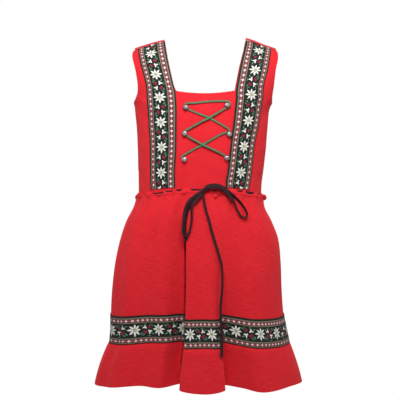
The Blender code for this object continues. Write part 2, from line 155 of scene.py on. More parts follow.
# Gives a shader its colour and its relief: how strong that is, and how high in metres.
def paint(tree, shader, colour, height, strength, distance):
    relief = outOf(tree, "ShaderNodeBump", {"Strength": strength, "Distance": distance, "Height": height})
    tree.links.new(colour, shader.inputs["Base Color"])
    tree.links.new(relief, shader.inputs["Normal"])


def addObject(name, data):
    thing = bpy.data.objects.new(name, data)
    bpy.context.scene.collection.objects.link(thing)
    return thing


def finish(piece, name, material, sharp):
    piece.data.name = name
    piece.data.materials.clear()
    piece.data.materials.append(material)
    piece.data.shade_smooth()
    piece.data.set_sharp_from_angle(angle=math.radians(sharp))


def newPiece(name, mesh, material, sharp=50):
    piece = addObject(name, mesh)
    finish(piece, name, material, sharp)
    return piece


# Turns what a piece's modifiers make into its plain mesh.
def settle(piece):
    bpy.context.view_layer.update()
    graph = bpy.context.evaluated_depsgraph_get()
    solid = bpy.data.meshes.new_from_object(piece.evaluated_get(graph), depsgraph=graph)
    old = piece.data
    piece.modifiers.clear()
    piece.data = solid
    bpy.data.meshes.remove(old)


def turnFacesOut(mesh):
    work = bmesh.new()
    work.from_mesh(mesh)
    bmesh.ops.recalc_face_normals(work, faces=work.faces)
    work.to_mesh(mesh)
    work.free()


# The corners of each cell between rows of points. Closed rows end where they start.
def cellCorners(rows, columns, closed=False):
    found = []
    for row in range(rows - 1):
        for column in range(columns if closed else columns - 1):
            first, after = (row * columns + place % columns for place in (column, column + 1))
            found.append([first, after, after + columns, first + columns])
    return found


def tubeFaces(rows, spokes):
    ends = [list(range(spokes))[::-1], list(range((rows - 1) * spokes, rows * spokes))]
    return cellCorners(rows, spokes, closed=True) + ends


# A pattern place in millimetres for each point of a grid.
def spreadOut(around, up):
    return np.stack(np.broadcast_arrays(around[None, :], up[:, None]), axis=-1)


def patternMesh(name, points, pattern, faces):
    mesh = bpy.data.meshes.new(name)
    mesh.from_pydata([tuple(point) for point in points.reshape(-1, 3) * mm], [], faces)
    spots = pattern.reshape(-1, 2)[np.concatenate(faces)]
    mesh.uv_layers.new(name="pattern").data.foreach_set("uv", spots.astype(np.float32).ravel())
    return mesh


def setValues(mesh, name, values, kind="FLOAT", field="value"):
    mesh.attributes.new(name, kind, "POINT").data.foreach_set(field, np.array(values, float).ravel())


# A piece from grids: rows of points from the bottom up, their pattern places, a side
# (-1 front, 1 back) and maybe a mask of the cells that are cloth.
def clothPiece(name, grids, material, thickness=0.0, sharp=50):
    points, patterns, faces = [], [], []
    for grid, pattern, side, *mask in grids:
        base = sum(len(part) for part in points)
        corners = cellCorners(*grid.shape[:2])
        used = mask[0].ravel() if mask else [True] * len(corners)
        faces += [[base + corner for corner in cell[::-side]] for cell, kept in zip(corners, used) if kept]
        points.append(grid.reshape(-1, 3))
        patterns.append(pattern.reshape(-1, 2))
    mesh = patternMesh(name, np.concatenate(points), np.concatenate(patterns), faces)
    work = bmesh.new()
    work.from_mesh(mesh)
    bmesh.ops.delete(work, geom=[vertex for vertex in work.verts if not vertex.link_faces], context="VERTS")
    bmesh.ops.remove_doubles(work, verts=work.verts, dist=weld * mm)
    work.to_mesh(mesh)
    work.free()
    piece = newPiece(name, mesh, material, sharp)
    if thickness:
        wall = piece.modifiers.new("wall", "SOLIDIFY")
        wall.thickness = thickness * mm
        wall.offset = -1
        wall.use_even_offset = False
        settle(piece)
        finish(piece, name, material, sharp)
    return piece


def halfArea(piece):
    return sum(face.area for face in piece.data.polygons) / 2


def stand(piece, slotName, *nodes):
    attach(piece, "root")
    if nodes:
        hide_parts(*nodes)


# Lines of points in millimetres as one mesh of edges. Each point carries the direction that
# its cloth faces, and how wide the cord is there.
def edgeMesh(name, lines):
    vertices, edges, facings, widths = [], [], [], []
    for points, facing, width in lines:
        base = len(vertices)
        vertices += [tuple(point * mm) for point in points]
        edges += [(base + place, base + place + 1) for place in range(len(points) - 1)]
        facings += [tuple(direction) for direction in facing]
        widths += list(np.broadcast_to(width, len(points)))
    mesh = bpy.data.meshes.new(name)
    mesh.from_pydata(vertices, edges, [])
    setValues(mesh, "facing", facings, "FLOAT_VECTOR", "vector")
    setValues(mesh, "narrow", widths)
    return mesh


# A tree that grows a piece from a mesh of edges. Its inputs are sizes and a material.
def newTree(name, *sizes):
    tree = bpy.data.node_groups.new(name, "GeometryNodeTree")
    sockets = [("Geometry", "Geometry"), *[(size, "Float") for size in sizes], ("Material", "Material")]
    for label, kind in sockets:
        tree.interface.new_socket(label, in_out="INPUT", socket_type="NodeSocket" + kind)
    tree.interface.new_socket("Geometry", in_out="OUTPUT", socket_type="NodeSocketGeometry")
    return tree, tree.nodes.new("NodeGroupInput").outputs


def endTree(tree, geometry, material):
    real = outOf(tree, "GeometryNodeRealizeInstances", {0: geometry})
    painted = outOf(tree, "GeometryNodeSetMaterial", {"Geometry": real, "Material": material})
    tree.links.new(painted, tree.nodes.new("NodeGroupOutput").inputs[0])
    return tree


def grow(name, mesh, tree, material, sharp=60, **sizes):
    piece = addObject(name, mesh)
    modifier = piece.modifiers.new("grow", "NODES")
    modifier.node_group = tree
    sizes["Material"] = material
    for item in tree.interface.items_tree:
        if item.in_out == "INPUT" and item.name in sizes:
            modifier[item.identifier] = sizes[item.name]
    settle(piece)
    finish(piece, name, material, sharp)
    return piece


# The camera, and the drawstring's bow and free ends

view = {"place": (-0.00875, -2.2, -0.280), "lens": 113.14, "sensor": 36.0}

cameraData = bpy.data.cameras.new("camera")
cameraData.lens = view["lens"]
cameraData.sensor_width = view["sensor"]
camera = addObject("camera", cameraData)
camera.location = view["place"]
camera.rotation_euler = (math.pi / 2, 0, 0)
bpy.context.scene.camera = camera
bpy.context.scene.view_settings.view_transform = "Standard"

ribbonLook = {
    "surface": {"roughness": 0.66, "sheen": 0.02, "specular": 0.2}, "relief": (0.35, 0.0002),
    "width": 6.5, "thickness": 0.9, "cup": 0.5, "edge": 0.42, "narrowing": 1.6, "steps": 10,
    "colour": "#3A181F", "shade": "#1E0B11", "patches": 0.12, "edgeShade": 0.6, "rib": 0.8,
}


# Dark grosgrain ribbon: matt, with fine cross ribs and darker edges.
def ribbonMaterial():
    look = ribbonLook
    material, tree, shader = newMaterial("grosgrainRibbon", **look["surface"])
    place = patternPlace(tree)
    across, along = addNode(tree, "ShaderNodeSeparateXYZ", {0: place}).outputs[:2]
    rib = calc(tree, "SINE", calc(tree, "MULTIPLY", along, 2 * math.pi / look["rib"]))
    edge = calc(tree, "GREATER_THAN", calc(tree, "ABSOLUTE", across), look["width"] * look["edge"])
    patches = noise(tree, place, look["patches"], 3.0)
    colour = mix(tree, patches, linear(look["shade"]), linear(look["colour"]))
    colour = mix(tree, calc(tree, "MULTIPLY", edge, look["edgeShade"]), colour, linear(look["shade"]))
    paint(tree, shader, colour, rib, *look["relief"])
    return material


# A flat ribbon with a softly cupped section along points. Angles turn its broad side, and
# it is narrower where it enters the knot.
def ribbonPiece(name, route, turns, pinch):
    look = ribbonLook
    route = np.array(route, float)
    last = len(route) - 1
    places = np.linspace(0, last, last * look["steps"] + 1)
    centres = curve(route, places)
    tangent = np.gradient(centres, axis=0)
    tangent /= np.linalg.norm(tangent, axis=1, keepdims=True)
    across = np.cross(tangent, (0, -1.0, 0))
    across /= np.linalg.norm(across, axis=1, keepdims=True)
    out = np.cross(across, tangent)
    angle = np.radians(np.interp(places / last, np.linspace(0, 1, len(turns)), turns))[:, None]
    side = across * np.cos(angle) + out * np.sin(angle)
    face = out * np.cos(angle) - across * np.sin(angle)
    narrow = np.ones(len(places))
    for amount, away in zip(pinch, (places, last - places)):
        if amount:
            narrow = np.minimum(narrow, amount + (1 - amount) * smooth(away / look["narrowing"]))
    shares = np.array([-1, -0.9, -0.5, 0, 0.5, 0.9, 1, 0.9, 0.5, 0, -0.5, -0.9])
    heights = np.array([0, 0.5, 0.5, 0.5, 0.5, 0.5, 0, -0.5, -0.5, -0.5, -0.5, -0.5])
    lift = heights * look["thickness"] + look["cup"] * (0.5 - shares**2)
    offsets = shares * look["width"] / 2
    sides = side[:, None] * (offsets * narrow[:, None])[..., None]
    rings = centres[:, None] + sides + face[:, None] * lift[:, None]
    run = lengthsAlong(centres)
    mesh = patternMesh(name, rings, spreadOut(offsets, run), tubeFaces(*rings.shape[:2]))
    turnFacesOut(mesh)
    return newPiece(name, mesh, grosgrain, 60), [tuple(point) for point in centres * mm], run[-1] * mm


loopLeft = (
    (-0.8, -86.4, -261.9), (-5.5, -86.2, -265.9), (-12, -87, -270.4), (-19.4, -88.6, -275.4),
    (-26, -90.2, -281.4), (-31, -91.4, -290), (-34, -92.4, -301.5),
    (-35.8, -93.4, -316), (-37.2, -94.2, -328.5), (-36, -94.8, -337.2), (-31.2, -95, -339.3),
    (-27.2, -94.4, -334), (-24.3, -93.2, -323), (-22.7, -92.4, -309.5),
    (-22.9, -92, -297), (-21.2, -91.4, -286.6), (-15.4, -90, -280.2),
    (-4.8, -87.8, -269.8),
)
loopRight = (
    (0.1, -85.4, -260.4), (4, -86, -257.6), (9, -86, -255.9),
    (16.5, -85.6, -255.2), (24.5, -84, -256.8), (32, -81.6, -261),
    (40, -79.4, -267.2), (49.4, -77.6, -274.4), (58.8, -76.6, -283.6),
    (65.6, -76.2, -292.8), (70.2, -75.8, -301), (69.8, -77.2, -307.4),
    (63.8, -79.2, -309), (57.6, -79.5, -302.4), (52.8, -79.3, -292.6),
    (48.2, -79.8, -282.6), (42.6, -81, -274.2), (35.5, -83, -266.3),
    (27.5, -85.4, -260.6), (17, -87.8, -257.8), (9, -88.4, -258.4),
    (3.6, -88.6, -260), (-0.9, -88.4, -261.9),
)
tailLong = (
    (-2.9, -85.9, -269.4), (-2, -87.2, -280), (1.2, -89.8, -296),
    (6.2, -91.6, -313), (10.8, -92.5, -331), (16.4, -93.3, -350),
    (22, -93.9, -368), (26.6, -94.1, -384), (28.6, -94.5, -400),
    (29, -95.3, -420), (27.6, -96.5, -440), (25.8, -98.1, -460),
    (26.2, -101, -482), (27.4, -104.1, -504), (27.8, -107.2, -524),
    (27.2, -111.5, -541),
)
tailShort = (
    (-6, -83.6, -268.8), (-14, -85.4, -276.5), (-22, -87.6, -285),
    (-29, -89.4, -296), (-32.4, -90.4, -310), (-34, -91.2, -326),
    (-33.4, -92.3, -340), (-32.8, -93.1, -349),
)
grosgrain = ribbonMaterial()

# The knot is a flat lump of ribbon: one turn wraps over it from upper left to lower right.
knotLook = {
    "place": (-2.6, -85.6, -263.6), "wide": 4.6, "high": 4.0, "deep": 2.6, "wrap": 2.4, "slant": -62,
    "loose": 0.86, "proud": 0.16, "crumple": 0.06, "rib": 0.03, "wrapEdge": 1.1, "edgeSharp": 4,
    "rows": 26, "spokes": 40,
}


def knotPiece():
    look = knotLook
    tilt = np.linspace(-math.pi / 2, math.pi / 2, look["rows"])[:, None]
    turn = np.linspace(0, 2 * math.pi, look["spokes"] + 1)[None, :]
    across = np.cos(tilt) * np.cos(turn)
    up = np.cos(tilt) * np.sin(turn)
    out = np.sin(tilt) * np.ones_like(turn)
    slant = math.radians(look["slant"])
    fromWrap = (across * math.sin(slant) + up * math.cos(slant)) * look["high"] / look["wrap"]
    wrap = smooth((look["wrapEdge"] - np.abs(fromWrap)) * look["edgeSharp"])
    folds = look["crumple"] * np.sin(across * 9 + up * 4) * (1 - wrap)
    size = look["loose"] + look["proud"] * wrap + folds - look["rib"] * wrap * np.cos(fromWrap * 6)
    lump = [across * size * look["wide"], -out * size * look["deep"], up * size * look["high"]]
    pattern = np.stack([fromWrap * look["wrap"], across * look["wide"] + up * 2.0], axis=-1)
    points = np.stack(lump, axis=-1) + look["place"]
    piece = clothPiece("bowKnot", [(points, pattern, -1)], grosgrain, sharp=70)
    turnFacesOut(piece.data)
    return piece


knot = knotPiece()
stand(knot, "ribbon", "bow_knot")
bowParts = (
    ("bowLoopLeft", loopLeft, "bow_loop_left", "object", (0.92, 0.6),
     (0, 0, 5, 12, 22, 42, 56, 65, 60, 52, 30, 5)),
    ("bowLoopRight", loopRight, "bow_loop_right", "object", (0.92, 0.9),
     (0, 0, 0, -8, -54, -62, -69, -66, -60, -26, 0, 0, 0)),
    ("tailLong", tailLong, "ribbon_tail_long", "bare", (0.6, 0), (35, 55, 45, 52, 58, 50, 42, 40)),
    ("tailShort", tailShort, "ribbon_tail_short", "bare", (0.6, 0), (0, 25, 40, 30)),
)
for name, route, node, farEnd, pinch, turns in bowParts:
    piece, path, length = ribbonPiece(name, route, turns, pinch)
    stand(piece, "ribbon", node)
print("camera and bow")

# The garment's form, as in its solids

form = {
    "oval": 2.3, "waist": -269.0, "underarm": -112.0, "neckline": -94.5, "backNeckline": -88.0,
    "neckSag": 5.0, "bandTop": -481.5, "bandBottom": -530.0, "hem": -602.0, "gap": 0.3,
}

bodiceSections = table(
    "height centre halfWidth frontDepth backDepth sideDrop",
    (-269, -9, 107, 76, 78, 8),
    (-245, -8.4, 107.4, 76, 78, 6.5),
    (-222, -7.2, 109.6, 78, 80, 3.5),
    (-190, -5.6, 111.8, 80, 82, 1),
    (-155, -5, 114.2, 81, 84, 0),
    (-128, -5, 117, 81, 85, 0),
    (-112, -3.5, 120.9, 80, 85, 0),
    (-98, -1.5, 124.5, 78, 84, 1),
    (-80, -0.5, 129, 75, 82, 4),
    (-60, 0, 133, 69, 77, 8),
    (-40, 0, 136, 60, 67, 14),
    (-22, 0, 138, 48, 53, 20),
    (-9, 0, 138, 34, 37, 24.5),
    (0, 0, 138, 20, 21, 27),
    (5, 0, 138, 8, 8, 28),
    (6, 0, 138, 0, 0, 28),
)
bodiceLines = table(
    "height edgeLeft outerLeft innerLeft innerRight outerRight edgeRight",
    (-269, -116, -91.2, -49.8, 34, 72.8, 98),
    (-245, -116.2, -92.8, -51, 35.2, 76.8, 99.8),
    (-229, -116.3, -93.2, -51, 38, 79.2, 101),
    (-196, -116.6, -93.5, -48.9, 41.6, 82.7, 103.6),
    (-180, -116.8, -93.8, -48.4, 43.5, 85.2, 104.8),
    (-145, -120.7, -96.4, -48.1, 48, 92.2, 111.3),
    (-128, -122.6, -97.2, -48, 49.7, 94.6, 114.4),
    (-112, -124.4, -98.2, -48.8, 51.4, 96.6, 117.4),
    (-109, -123.2, -98.6, -49.1, 51.7, 97.9, 116.6),
    (-105, -120.4, -99.2, -49.3, 51.9, 98.7, 116.2),
    (-94.5, -116.6, -99.4, -50.8, 52, 98.8, 116.8),
    (-80, -116, -101, -54.7, 54.4, 100.4, 118.8),
    (-60, -118.2, -105.2, -59.1, 57.9, 105, 120.6),
    (-40, -121.4, -109.8, -63.2, 61.6, 108.8, 122.9),
    (-22, -124.8, -113.2, -66.6, 65.4, 111.4, 126),
    (-9, -126.4, -115, -68.4, 68.4, 113.4, 127),
    (0, -125.6, -115.5, -69.6, 69.8, 114.4, 126.4),
    (6, -120.6, -115.6, -70.4, 70.8, 115, 122.4),
)
skirtSections = table(
    "height centre halfWidth frontDepth backDepth sideDrop",
    (-269.3, -9, 110, 79, 81, 8),
    (-277, -9.8, 112.2, 82, 85, 8),
    (-288, -10.6, 116.3, 84, 88, 9),
    (-310, -10.6, 127, 87, 93, 8),
    (-345, -10, 138, 89, 100, 5),
    (-390, -12.4, 144.5, 91, 107, 2),
    (-440, -14.2, 148, 92, 113, 0),
    (-481.5, -13.6, 150.5, 93, 119, 0),
    (-506, -11.2, 152.8, 94, 122, 0),
    (-530, -9.8, 156.2, 96, 125, 0),
)
flounceSections = table(
    "height centre halfWidth frontDepth backDepth sideDrop",
    (-530.3, -9.8, 156.2, 96, 125, 0),
    (-538, -10.2, 160.5, 99, 128, 0),
    (-558, -11, 168.2, 101, 132, 0),
    (-580, -11.4, 175.2, 104, 137, 0),
    (-602, -11.4, 180.8, 107, 141, 0),
)
frontWaves = table(
    "angleTop angleHem pushTop pushMid pushHem leanHem liftHem",
    (-90, -90, 0, 0, 0, 0, 4),
    (-77, -74, 0.2, 0.4, 1.2, 0, 3),
    (-64, -62, -0.8, -1, -3, 0, 3),
    (-51, -49, 1, 2, 3, 0, 5),
    (-38, -31, -1.5, -5, -9, 0, 9),
    (-24, -18, 0.8, -1, -3, 0, 10.5),
    (-12, -9.4, -1, -18, -31, 5, 11),
    (-6.5, -5.5, 1.2, 3, 12, -6, 3),
    (2, 2.5, 0.6, 6, 15, 0, 3),
    (11.5, 9.2, 1.2, 3, 12, 6, 3),
    (19, 13.1, -1.2, -9, -22, -4, 10),
    (32, 22, 0.8, 0, -8, 0, 6),
    (47, 34, -0.8, 5, 8, 0, 1),
    (68, 59, 0.5, 1.6, 2, 0, 0),
    (90, 90, 0, 0, 0, 0, 5),
)
backWaves = table(
    "angleTop angleHem pushTop pushMid pushHem leanHem liftHem",
    (-90, -90, 0, 0, 0, 0, 4),
    (-74, -72, 1, 3, 6, 0, 2),
    (-58, -60, -1.2, -4, -9, 0, 5),
    (-43, -44, 1, 4, 9, 0, 2),
    (-28, -24, -1, -7, -13, 2, 5),
    (-13, -10, 1.2, 5, 11, -2, 2),
    (3, 4, -1.2, -3, -7, 0, 4),
    (19, 20, 1, 5, 12, 2, 2),
    (35, 32, -1, -6, -12, -2, 5),
    (52, 50, 1, 4, 7, 0, 2),
    (72, 70, -0.8, -2, -4, 0, 4),
    (90, 90, 0, 0, 0, 0, 5),
)


def sectionAt(sections, height):
    heights = sections["height"]
    order = np.argsort(heights)
    place = np.interp(height, heights[order], np.arange(len(heights))[order])
    return {name: float(curve(values, place)) for name, values in sections.items()}


def ring(angles, section, side):
    across = np.sign(np.sin(angles)) * np.abs(np.sin(angles)) ** (2 / form["oval"])
    depth = section["frontDepth"] if side < 0 else section["backDepth"]
    x = section["centre"] + section["halfWidth"] * across
    y = side * depth * np.abs(np.cos(angles)) ** (2 / form["oval"])
    z = section["height"] - section["sideDrop"] * across**2
    return np.stack([x, y, z], axis=-1)


def angleAt(x, section):
    across = np.clip((np.asarray(x) - section["centre"]) / section["halfWidth"], -1, 1)
    return np.arcsin(np.sign(across) * np.abs(across) ** (form["oval"] / 2))


def ringDirections(points, side):
    along = np.gradient(points, axis=0)
    along[:, 2] = 0
    along /= np.linalg.norm(along, axis=1, keepdims=True)
    out = side * np.stack([-along[:, 1], along[:, 0], np.zeros(len(along))], axis=1)
    return along, out


def normalsOf(points, side):
    normals = np.cross(np.gradient(points, axis=1), np.gradient(points, axis=0)) * -side
    return normals / np.maximum(np.linalg.norm(normals, axis=-1, keepdims=True), 1e-9)


# The point of the front that lies at x and z, and its outward normal.
def onFront(x, z):
    def point(x, z):
        height = z
        for _ in range(4):
            section = sectionAt(bodiceSections, height)
            here = ring(angleAt([x], section), section, -1)[0]
            height += z - here[2]
        return here

    step = 1.0
    normal = np.cross(point(x + step, z) - point(x - step, z), point(x, z + step) - point(x, z - step))
    return point(x, z), normal / np.linalg.norm(normal)


# How far small creases push a grid of points. Each runs from one point to another, seen
# from the front, and has a push outwards and a half width.
def creasesBetween(points, creases):
    push = np.zeros(points.shape[:2])
    for x1, z1, x2, z2, depth, width in zip(*creases.values()):
        offset = points[..., [0, 2]] - np.array((x1, z1))
        run = np.array((x2 - x1, z2 - z1))
        share = np.clip(offset @ run / (run @ run), 0, 1)
        away = np.linalg.norm(offset - share[..., None] * run, axis=-1)
        push += depth * np.exp(-(away / width) ** 2)
    return push


# Finishes

clothLook = {
    "surface": {"roughness": 0.85, "sheen": 0.7, "specular": 0.12, "fuzz": "#FF5A5C"},
    "relief": (0.5, 0.0008), "colour": "#D4212B", "deep": "#C0141F", "bright": "#E02C36",
    "cloud": 0.018, "cloudShare": 0.45, "slubHeight": 0.8, "slubLength": 15.0, "threadPitch": 0.55,
    # ridge and valley: painted highlight on the slubs' ridges and painted shade between them, with their
    # strengths.
    "ridge": (0.52, 0.72), "ridgeHighlightShare": 0.55, "valley": (0.46, 0.28), "valleyShadeShare": 0.5,
}
threadLook = {
    "surface": {"roughness": 0.6, "sheen": 0.1, "specular": 0.3}, "relief": (0.4, 0.0003),
    "twist": 900.0, "dark": "#A8101C", "bright": "#E0303C",
}


# Cotton crepe: matt and uneven in tone, with short level slubs and a fine uneven weave; painted highlight on
# the slubs' ridges and painted shade in the hollows between them.
def crepeMaterial(name, slub, grain):
    look = clothLook
    material, tree, shader = newMaterial(name, **look["surface"])
    add, times = sums(tree)[:2]
    place = patternPlace(tree)
    scale = (1 / look["slubLength"], 1 / look["slubHeight"] / 2, 1.0)
    stretch = outOf(tree, "ShaderNodeMapping", {"Vector": place, "Scale": scale})
    slubs = noise(tree, stretch, 1.0, 2.5)
    threads = noise(tree, place, 1 / look["threadPitch"], 1.5)
    deep, bright = linear(look["deep"]), linear(look["bright"])
    tone = mix(tree, noise(tree, place, look["cloud"], 3.0), deep, bright)
    tone = mix(tree, look["cloudShare"], linear(look["colour"]), tone)
    # Painted highlight: the slubs' raised ridges are coloured brighter.
    tone = mix(tree, times(remap(tree, slubs, *look["ridge"]), look["ridgeHighlightShare"] * slub), tone, bright)
    # Painted shade: the low places between the slubs are coloured deeper.
    tone = mix(tree, times(remap(tree, slubs, *look["valley"]), look["valleyShadeShare"] * slub), tone, deep)
    paint(tree, shader, tone, add(times(slubs, slub), times(threads, grain)), *look["relief"])
    return material


# Red sewing thread: cotton, a little brighter than the cloth, with a twist along it.
def threadMaterial():
    look = threadLook
    material, tree, shader = newMaterial("redSewingThread", **look["surface"])
    twist = noise(tree, objectPlace(tree), look["twist"], 2.0)
    colour = mix(tree, twist, linear(look["dark"]), linear(look["bright"]))
    paint(tree, shader, colour, twist, *look["relief"])
    return material


braidLook = {
    "surface": {"roughness": 0.75, "sheen": 0.05, "specular": 0.2}, "relief": (0.35, 0.0003),
    "width": 48.5, "repeat": 44.6, "thread": 0.4, "ribShare": 0.25, "fadeScale": 0.6, "fade": 0.2,
    "outerLine": (20.2, 21.8), "innerLine": (12.3, 13.9), "rowField": (13.9, 20.2),
    "row": 17.0, "diamondsEachRepeat": 5, "rowStart": 2.6, "rightRowBehind": 4.1, "rowLine": 0.35,
    "diamond": (2.4, 2.7), "diamondHeart": (1.8, 1.9), "beadAside": 1.7, "beadWide": 1.2, "beadHigh": 2.0,
    "petals": 8, "petalEnd": 10.6, "petalNotch": 6.6, "uneven": 0.5, "groove": 0.7, "heartRadius": 3.0,
    "ground": "#191D18", "olive": "#77725F", "mauve": "#5C4741", "pink": "#D9949C", "white": "#E8E8E0",
    "blush": "#F4D6D6", "wine": "#7A2138", "crimson": "#8E1F3C", "leaf": "#57876C", "heart": "#A3A585",
    "petalShade": "#8E9693",
}

# Half of one gap between two blossoms: the other half is the same turned round.
# across and along are from a blossom's centre, in millimetres, and turn is in degrees.
motifs = (
    ("crimson", 3.2, 16.6, 1.8, 2.1, 30),
    ("crimson", 4.7, 18.9, 2.0, 2.2, -20),
    ("white", -3.1, 15.8, 1.2, 2.5, 8),
    ("white", -5.5, 18.2, 1.2, 2.6, 79),
    ("white", -2.8, 19.3, 1.4, 2.1, -23),
    ("leaf", 6.4, 11.4, 0.95, 2.6, 43),
    ("leaf", -6.8, 12.5, 1.0, 3.0, -20),
    ("leaf", 8.2, 15.0, 0.8, 2.6, 27),
    ("leaf", -10.0, 19.0, 0.6, 3.0, 0),
)


# Woven jacquard braid: blossoms, buds and leaves on a dark field between rows of diamonds.
def braidMaterial():
    look = braidLook
    material, tree, shader = newMaterial("jacquardBraid", **look["surface"])
    add, times, take, below, above = sums(tree)
    place = patternPlace(tree)
    snapped = outOf(tree, "ShaderNodeVectorMath", {0: place, 1: (look["thread"],) * 3}, operation="SNAP")
    spread, along = addNode(tree, "ShaderNodeSeparateXYZ", {0: snapped}).outputs[:2]
    across = take(spread, look["width"] / 2)
    away = calc(tree, "ABSOLUTE", across)
    repeat, ground = look["repeat"], linear(look["ground"])

    def laid(mask, tint):
        return mix(tree, mask, colour, linear(look[tint]))

    def within(low, high):
        return times(above(away, low), below(away, high))

    colour = mix(tree, within(*look["outerLine"]), ground, linear(look["olive"]))
    colour = laid(within(*look["innerLine"]), "olive")
    colour = laid(within(*look["rowField"]), "mauve")

    # The two rows of diamonds stand a little out of step with the blossoms.
    pitch = repeat / look["diamondsEachRepeat"]
    step = take(add(along, look["rowStart"]), times(above(across, 0.0), look["rightRowBehind"]))
    offRow = calc(tree, "ABSOLUTE", take(away, look["row"]))
    offDiamond = calc(tree, "PINGPONG", step, pitch / 2)

    def diamond(wide, high):
        return below(add(calc(tree, "DIVIDE", offRow, wide), calc(tree, "DIVIDE", offDiamond, high)), 1.0)

    beside = calc(tree, "DIVIDE", take(offRow, look["beadAside"]), look["beadWide"])
    between = calc(tree, "DIVIDE", take(pitch / 2, offDiamond), look["beadHigh"])
    colour = laid(below(add(times(beside, beside), calc(tree, "POWER", between, 2.0)), 1.0), "wine")
    colour = laid(below(offRow, look["rowLine"]), "pink")
    colour = laid(diamond(*look["diamond"]), "pink")
    colour = laid(diamond(*look["diamondHeart"]), "blush")

    # The gaps alternate, so every second one is mirrored, and each is the same turned round.
    double = calc(tree, "WRAP", along, 2 * repeat, 0.0)
    mirrored = above(double, repeat)
    single = take(double, times(mirrored, repeat))
    sign = times(take(1.0, times(mirrored, 2.0)), take(1.0, times(above(single, repeat / 2), 2.0)))
    low = calc(tree, "PINGPONG", single, repeat / 2)
    chart = outOf(tree, "ShaderNodeCombineXYZ", {0: times(across, sign), 1: low})
    raised = None
    for tint, x, y, wide, high, turn in motifs:
        shape = {"Location": (x, y, 0), "Rotation": (0, 0, math.radians(turn)), "Scale": (wide, high, 1)}
        moved = outOf(tree, "ShaderNodeMapping", {"Vector": chart, **shape}, vector_type="TEXTURE")
        size = addNode(tree, "ShaderNodeVectorMath", {0: moved}, operation="LENGTH")
        mask = below(size.outputs["Value"], 1.0)
        colour = laid(mask, tint)
        raised = mask if raised is None else calc(tree, "MAXIMUM", raised, mask)

    near = calc(tree, "WRAP", along, repeat / 2, -repeat / 2)
    radius = calc(tree, "SQRT", add(calc(tree, "POWER", away, 2.0), times(near, near)))
    bearing = calc(tree, "ARCTAN2", near, across)
    edge = calc(tree, "PINGPONG", times(bearing, look["petals"] / math.pi), 1.0)
    uneven = times(calc(tree, "SINE", times(bearing, 3.0)), look["uneven"])
    blossom = below(radius, take(add(look["petalEnd"], uneven), times(edge, look["petalNotch"])))
    petal = mix(tree, above(edge, look["groove"]), linear(look["white"]), linear(look["petalShade"]))
    colour = mix(tree, blossom, colour, petal)
    colour = laid(below(radius, look["heartRadius"]), "heart")
    faded = times(noise(tree, place, look["fadeScale"], 2.0), look["fade"])
    colour = mix(tree, faded, colour, ground)
    run = addNode(tree, "ShaderNodeSeparateXYZ", {0: place}).outputs[1]
    rib = calc(tree, "SINE", times(run, math.pi / look["thread"]))
    height = add(times(rib, look["ribShare"]), calc(tree, "MAXIMUM", raised, blossom))
    paint(tree, shader, colour, height, *look["relief"])
    return material


crepe = crepeMaterial("cottonCrepe", 1.25, 0.25)
smoothCrepe = crepeMaterial("cottonCrepeFine", 0.4, 0.35)
redThread = threadMaterial()
braid = braidMaterial()
print("finishes")

# The bodice

bodiceLook = {"steps": (14, 14, 36, 14, 14), "wall": 1.4, "sagHigh": 30, "sagWide": 50, "creaseFade": 4}
neckLeft, neckRight = sum(bodiceLook["steps"][:2]), sum(bodiceLook["steps"][:3])

bodiceCreases = table(
    "x1 z1 x2 z2 push width",
    (-112, -232, -100, -262, -1, 5),
    (-98, -240, -96, -264, 0.8, 3.6),
    (-84, -246, -80, -266, -0.7, 3.4),
    (-66, -250, -63, -266, 0.6, 3.2),
    (-40, -252, -38, -268, -0.7, 3),
    (-24, -250, -25, -268, 0.6, 3),
    (-8, -252, -9, -268, -0.6, 2.8),
    (12, -252, 12, -268, 0.6, 2.8),
    (26, -250, 27, -268, -0.7, 3),
    (50, -250, 48, -266, 0.6, 3.2),
    (64, -248, 66, -266, -0.7, 3.2),
    (82, -244, 80, -266, 0.7, 3.4),
    (94, -238, 90, -264, -0.9, 4),
    (-118, -118, -100, -142, -1.2, 6),
    (-112, -104, -98, -118, 0.7, 4),
    (112, -118, 98, -140, -1.1, 6),
    (108, -106, 96, -120, 0.6, 4),
    (-46, -100, -40, -128, -0.6, 5),
    (46, -102, 42, -126, -0.5, 5),
    (-112, -185, -96, -196, 0.5, 5),
    (102, -190, 86, -200, 0.5, 5),
    (-20, -222, 14, -240, -0.5, 9),
)


def rowsBetween(*pairs):
    rows = [pairs[0][0]]
    for low, high, count in pairs:
        rows += list(np.linspace(low, high, count + 1)[1:])
    return np.array(rows)


def bodiceGrid(rows, side, creases=None):
    grid = []
    for height in rows:
        section = sectionAt(bodiceSections, height)
        lines = sectionAt(bodiceLines, height)
        keys = [lines[name] for name in list(bodiceLines)[1:]]
        if height <= form["underarm"]:
            keys[0] = section["centre"] - section["halfWidth"]
            keys[-1] = section["centre"] + section["halfWidth"]
        turns = angleAt(keys, section)
        parts = [
            np.linspace(start, end, steps, endpoint=False)
            for start, end, steps in zip(turns, turns[1:], bodiceLook["steps"])
        ]
        points = ring(np.concatenate(parts + [turns[-1:]]), section, side)
        if side < 0:
            sag = form["neckSag"] * max(0.0, 1 - abs(height - form["neckline"]) / bodiceLook["sagHigh"])
            middle = np.clip(np.abs(points[:, 0] - section["centre"]) / bodiceLook["sagWide"], 0, 1)
            points[:, 2] -= sag * (1 - middle**2) * (height <= form["neckline"] + 0.01)
        grid.append(points)
    grid = np.array(grid)
    if creases:
        fade = smooth((rows - form["waist"]) / bodiceLook["creaseFade"])
        grid += normalsOf(grid, side) * (creasesBetween(grid, creases) * fade[:, None])[..., None]
        closed = rows <= form["underarm"]
        grid[closed, 0, 1] = 0
        grid[closed, -1, 1] = 0
    return grid


def patternOf(points):
    return spreadOut(lengthsAlong(points[len(points) // 3]), lengthsAlong(points[:, 0]))


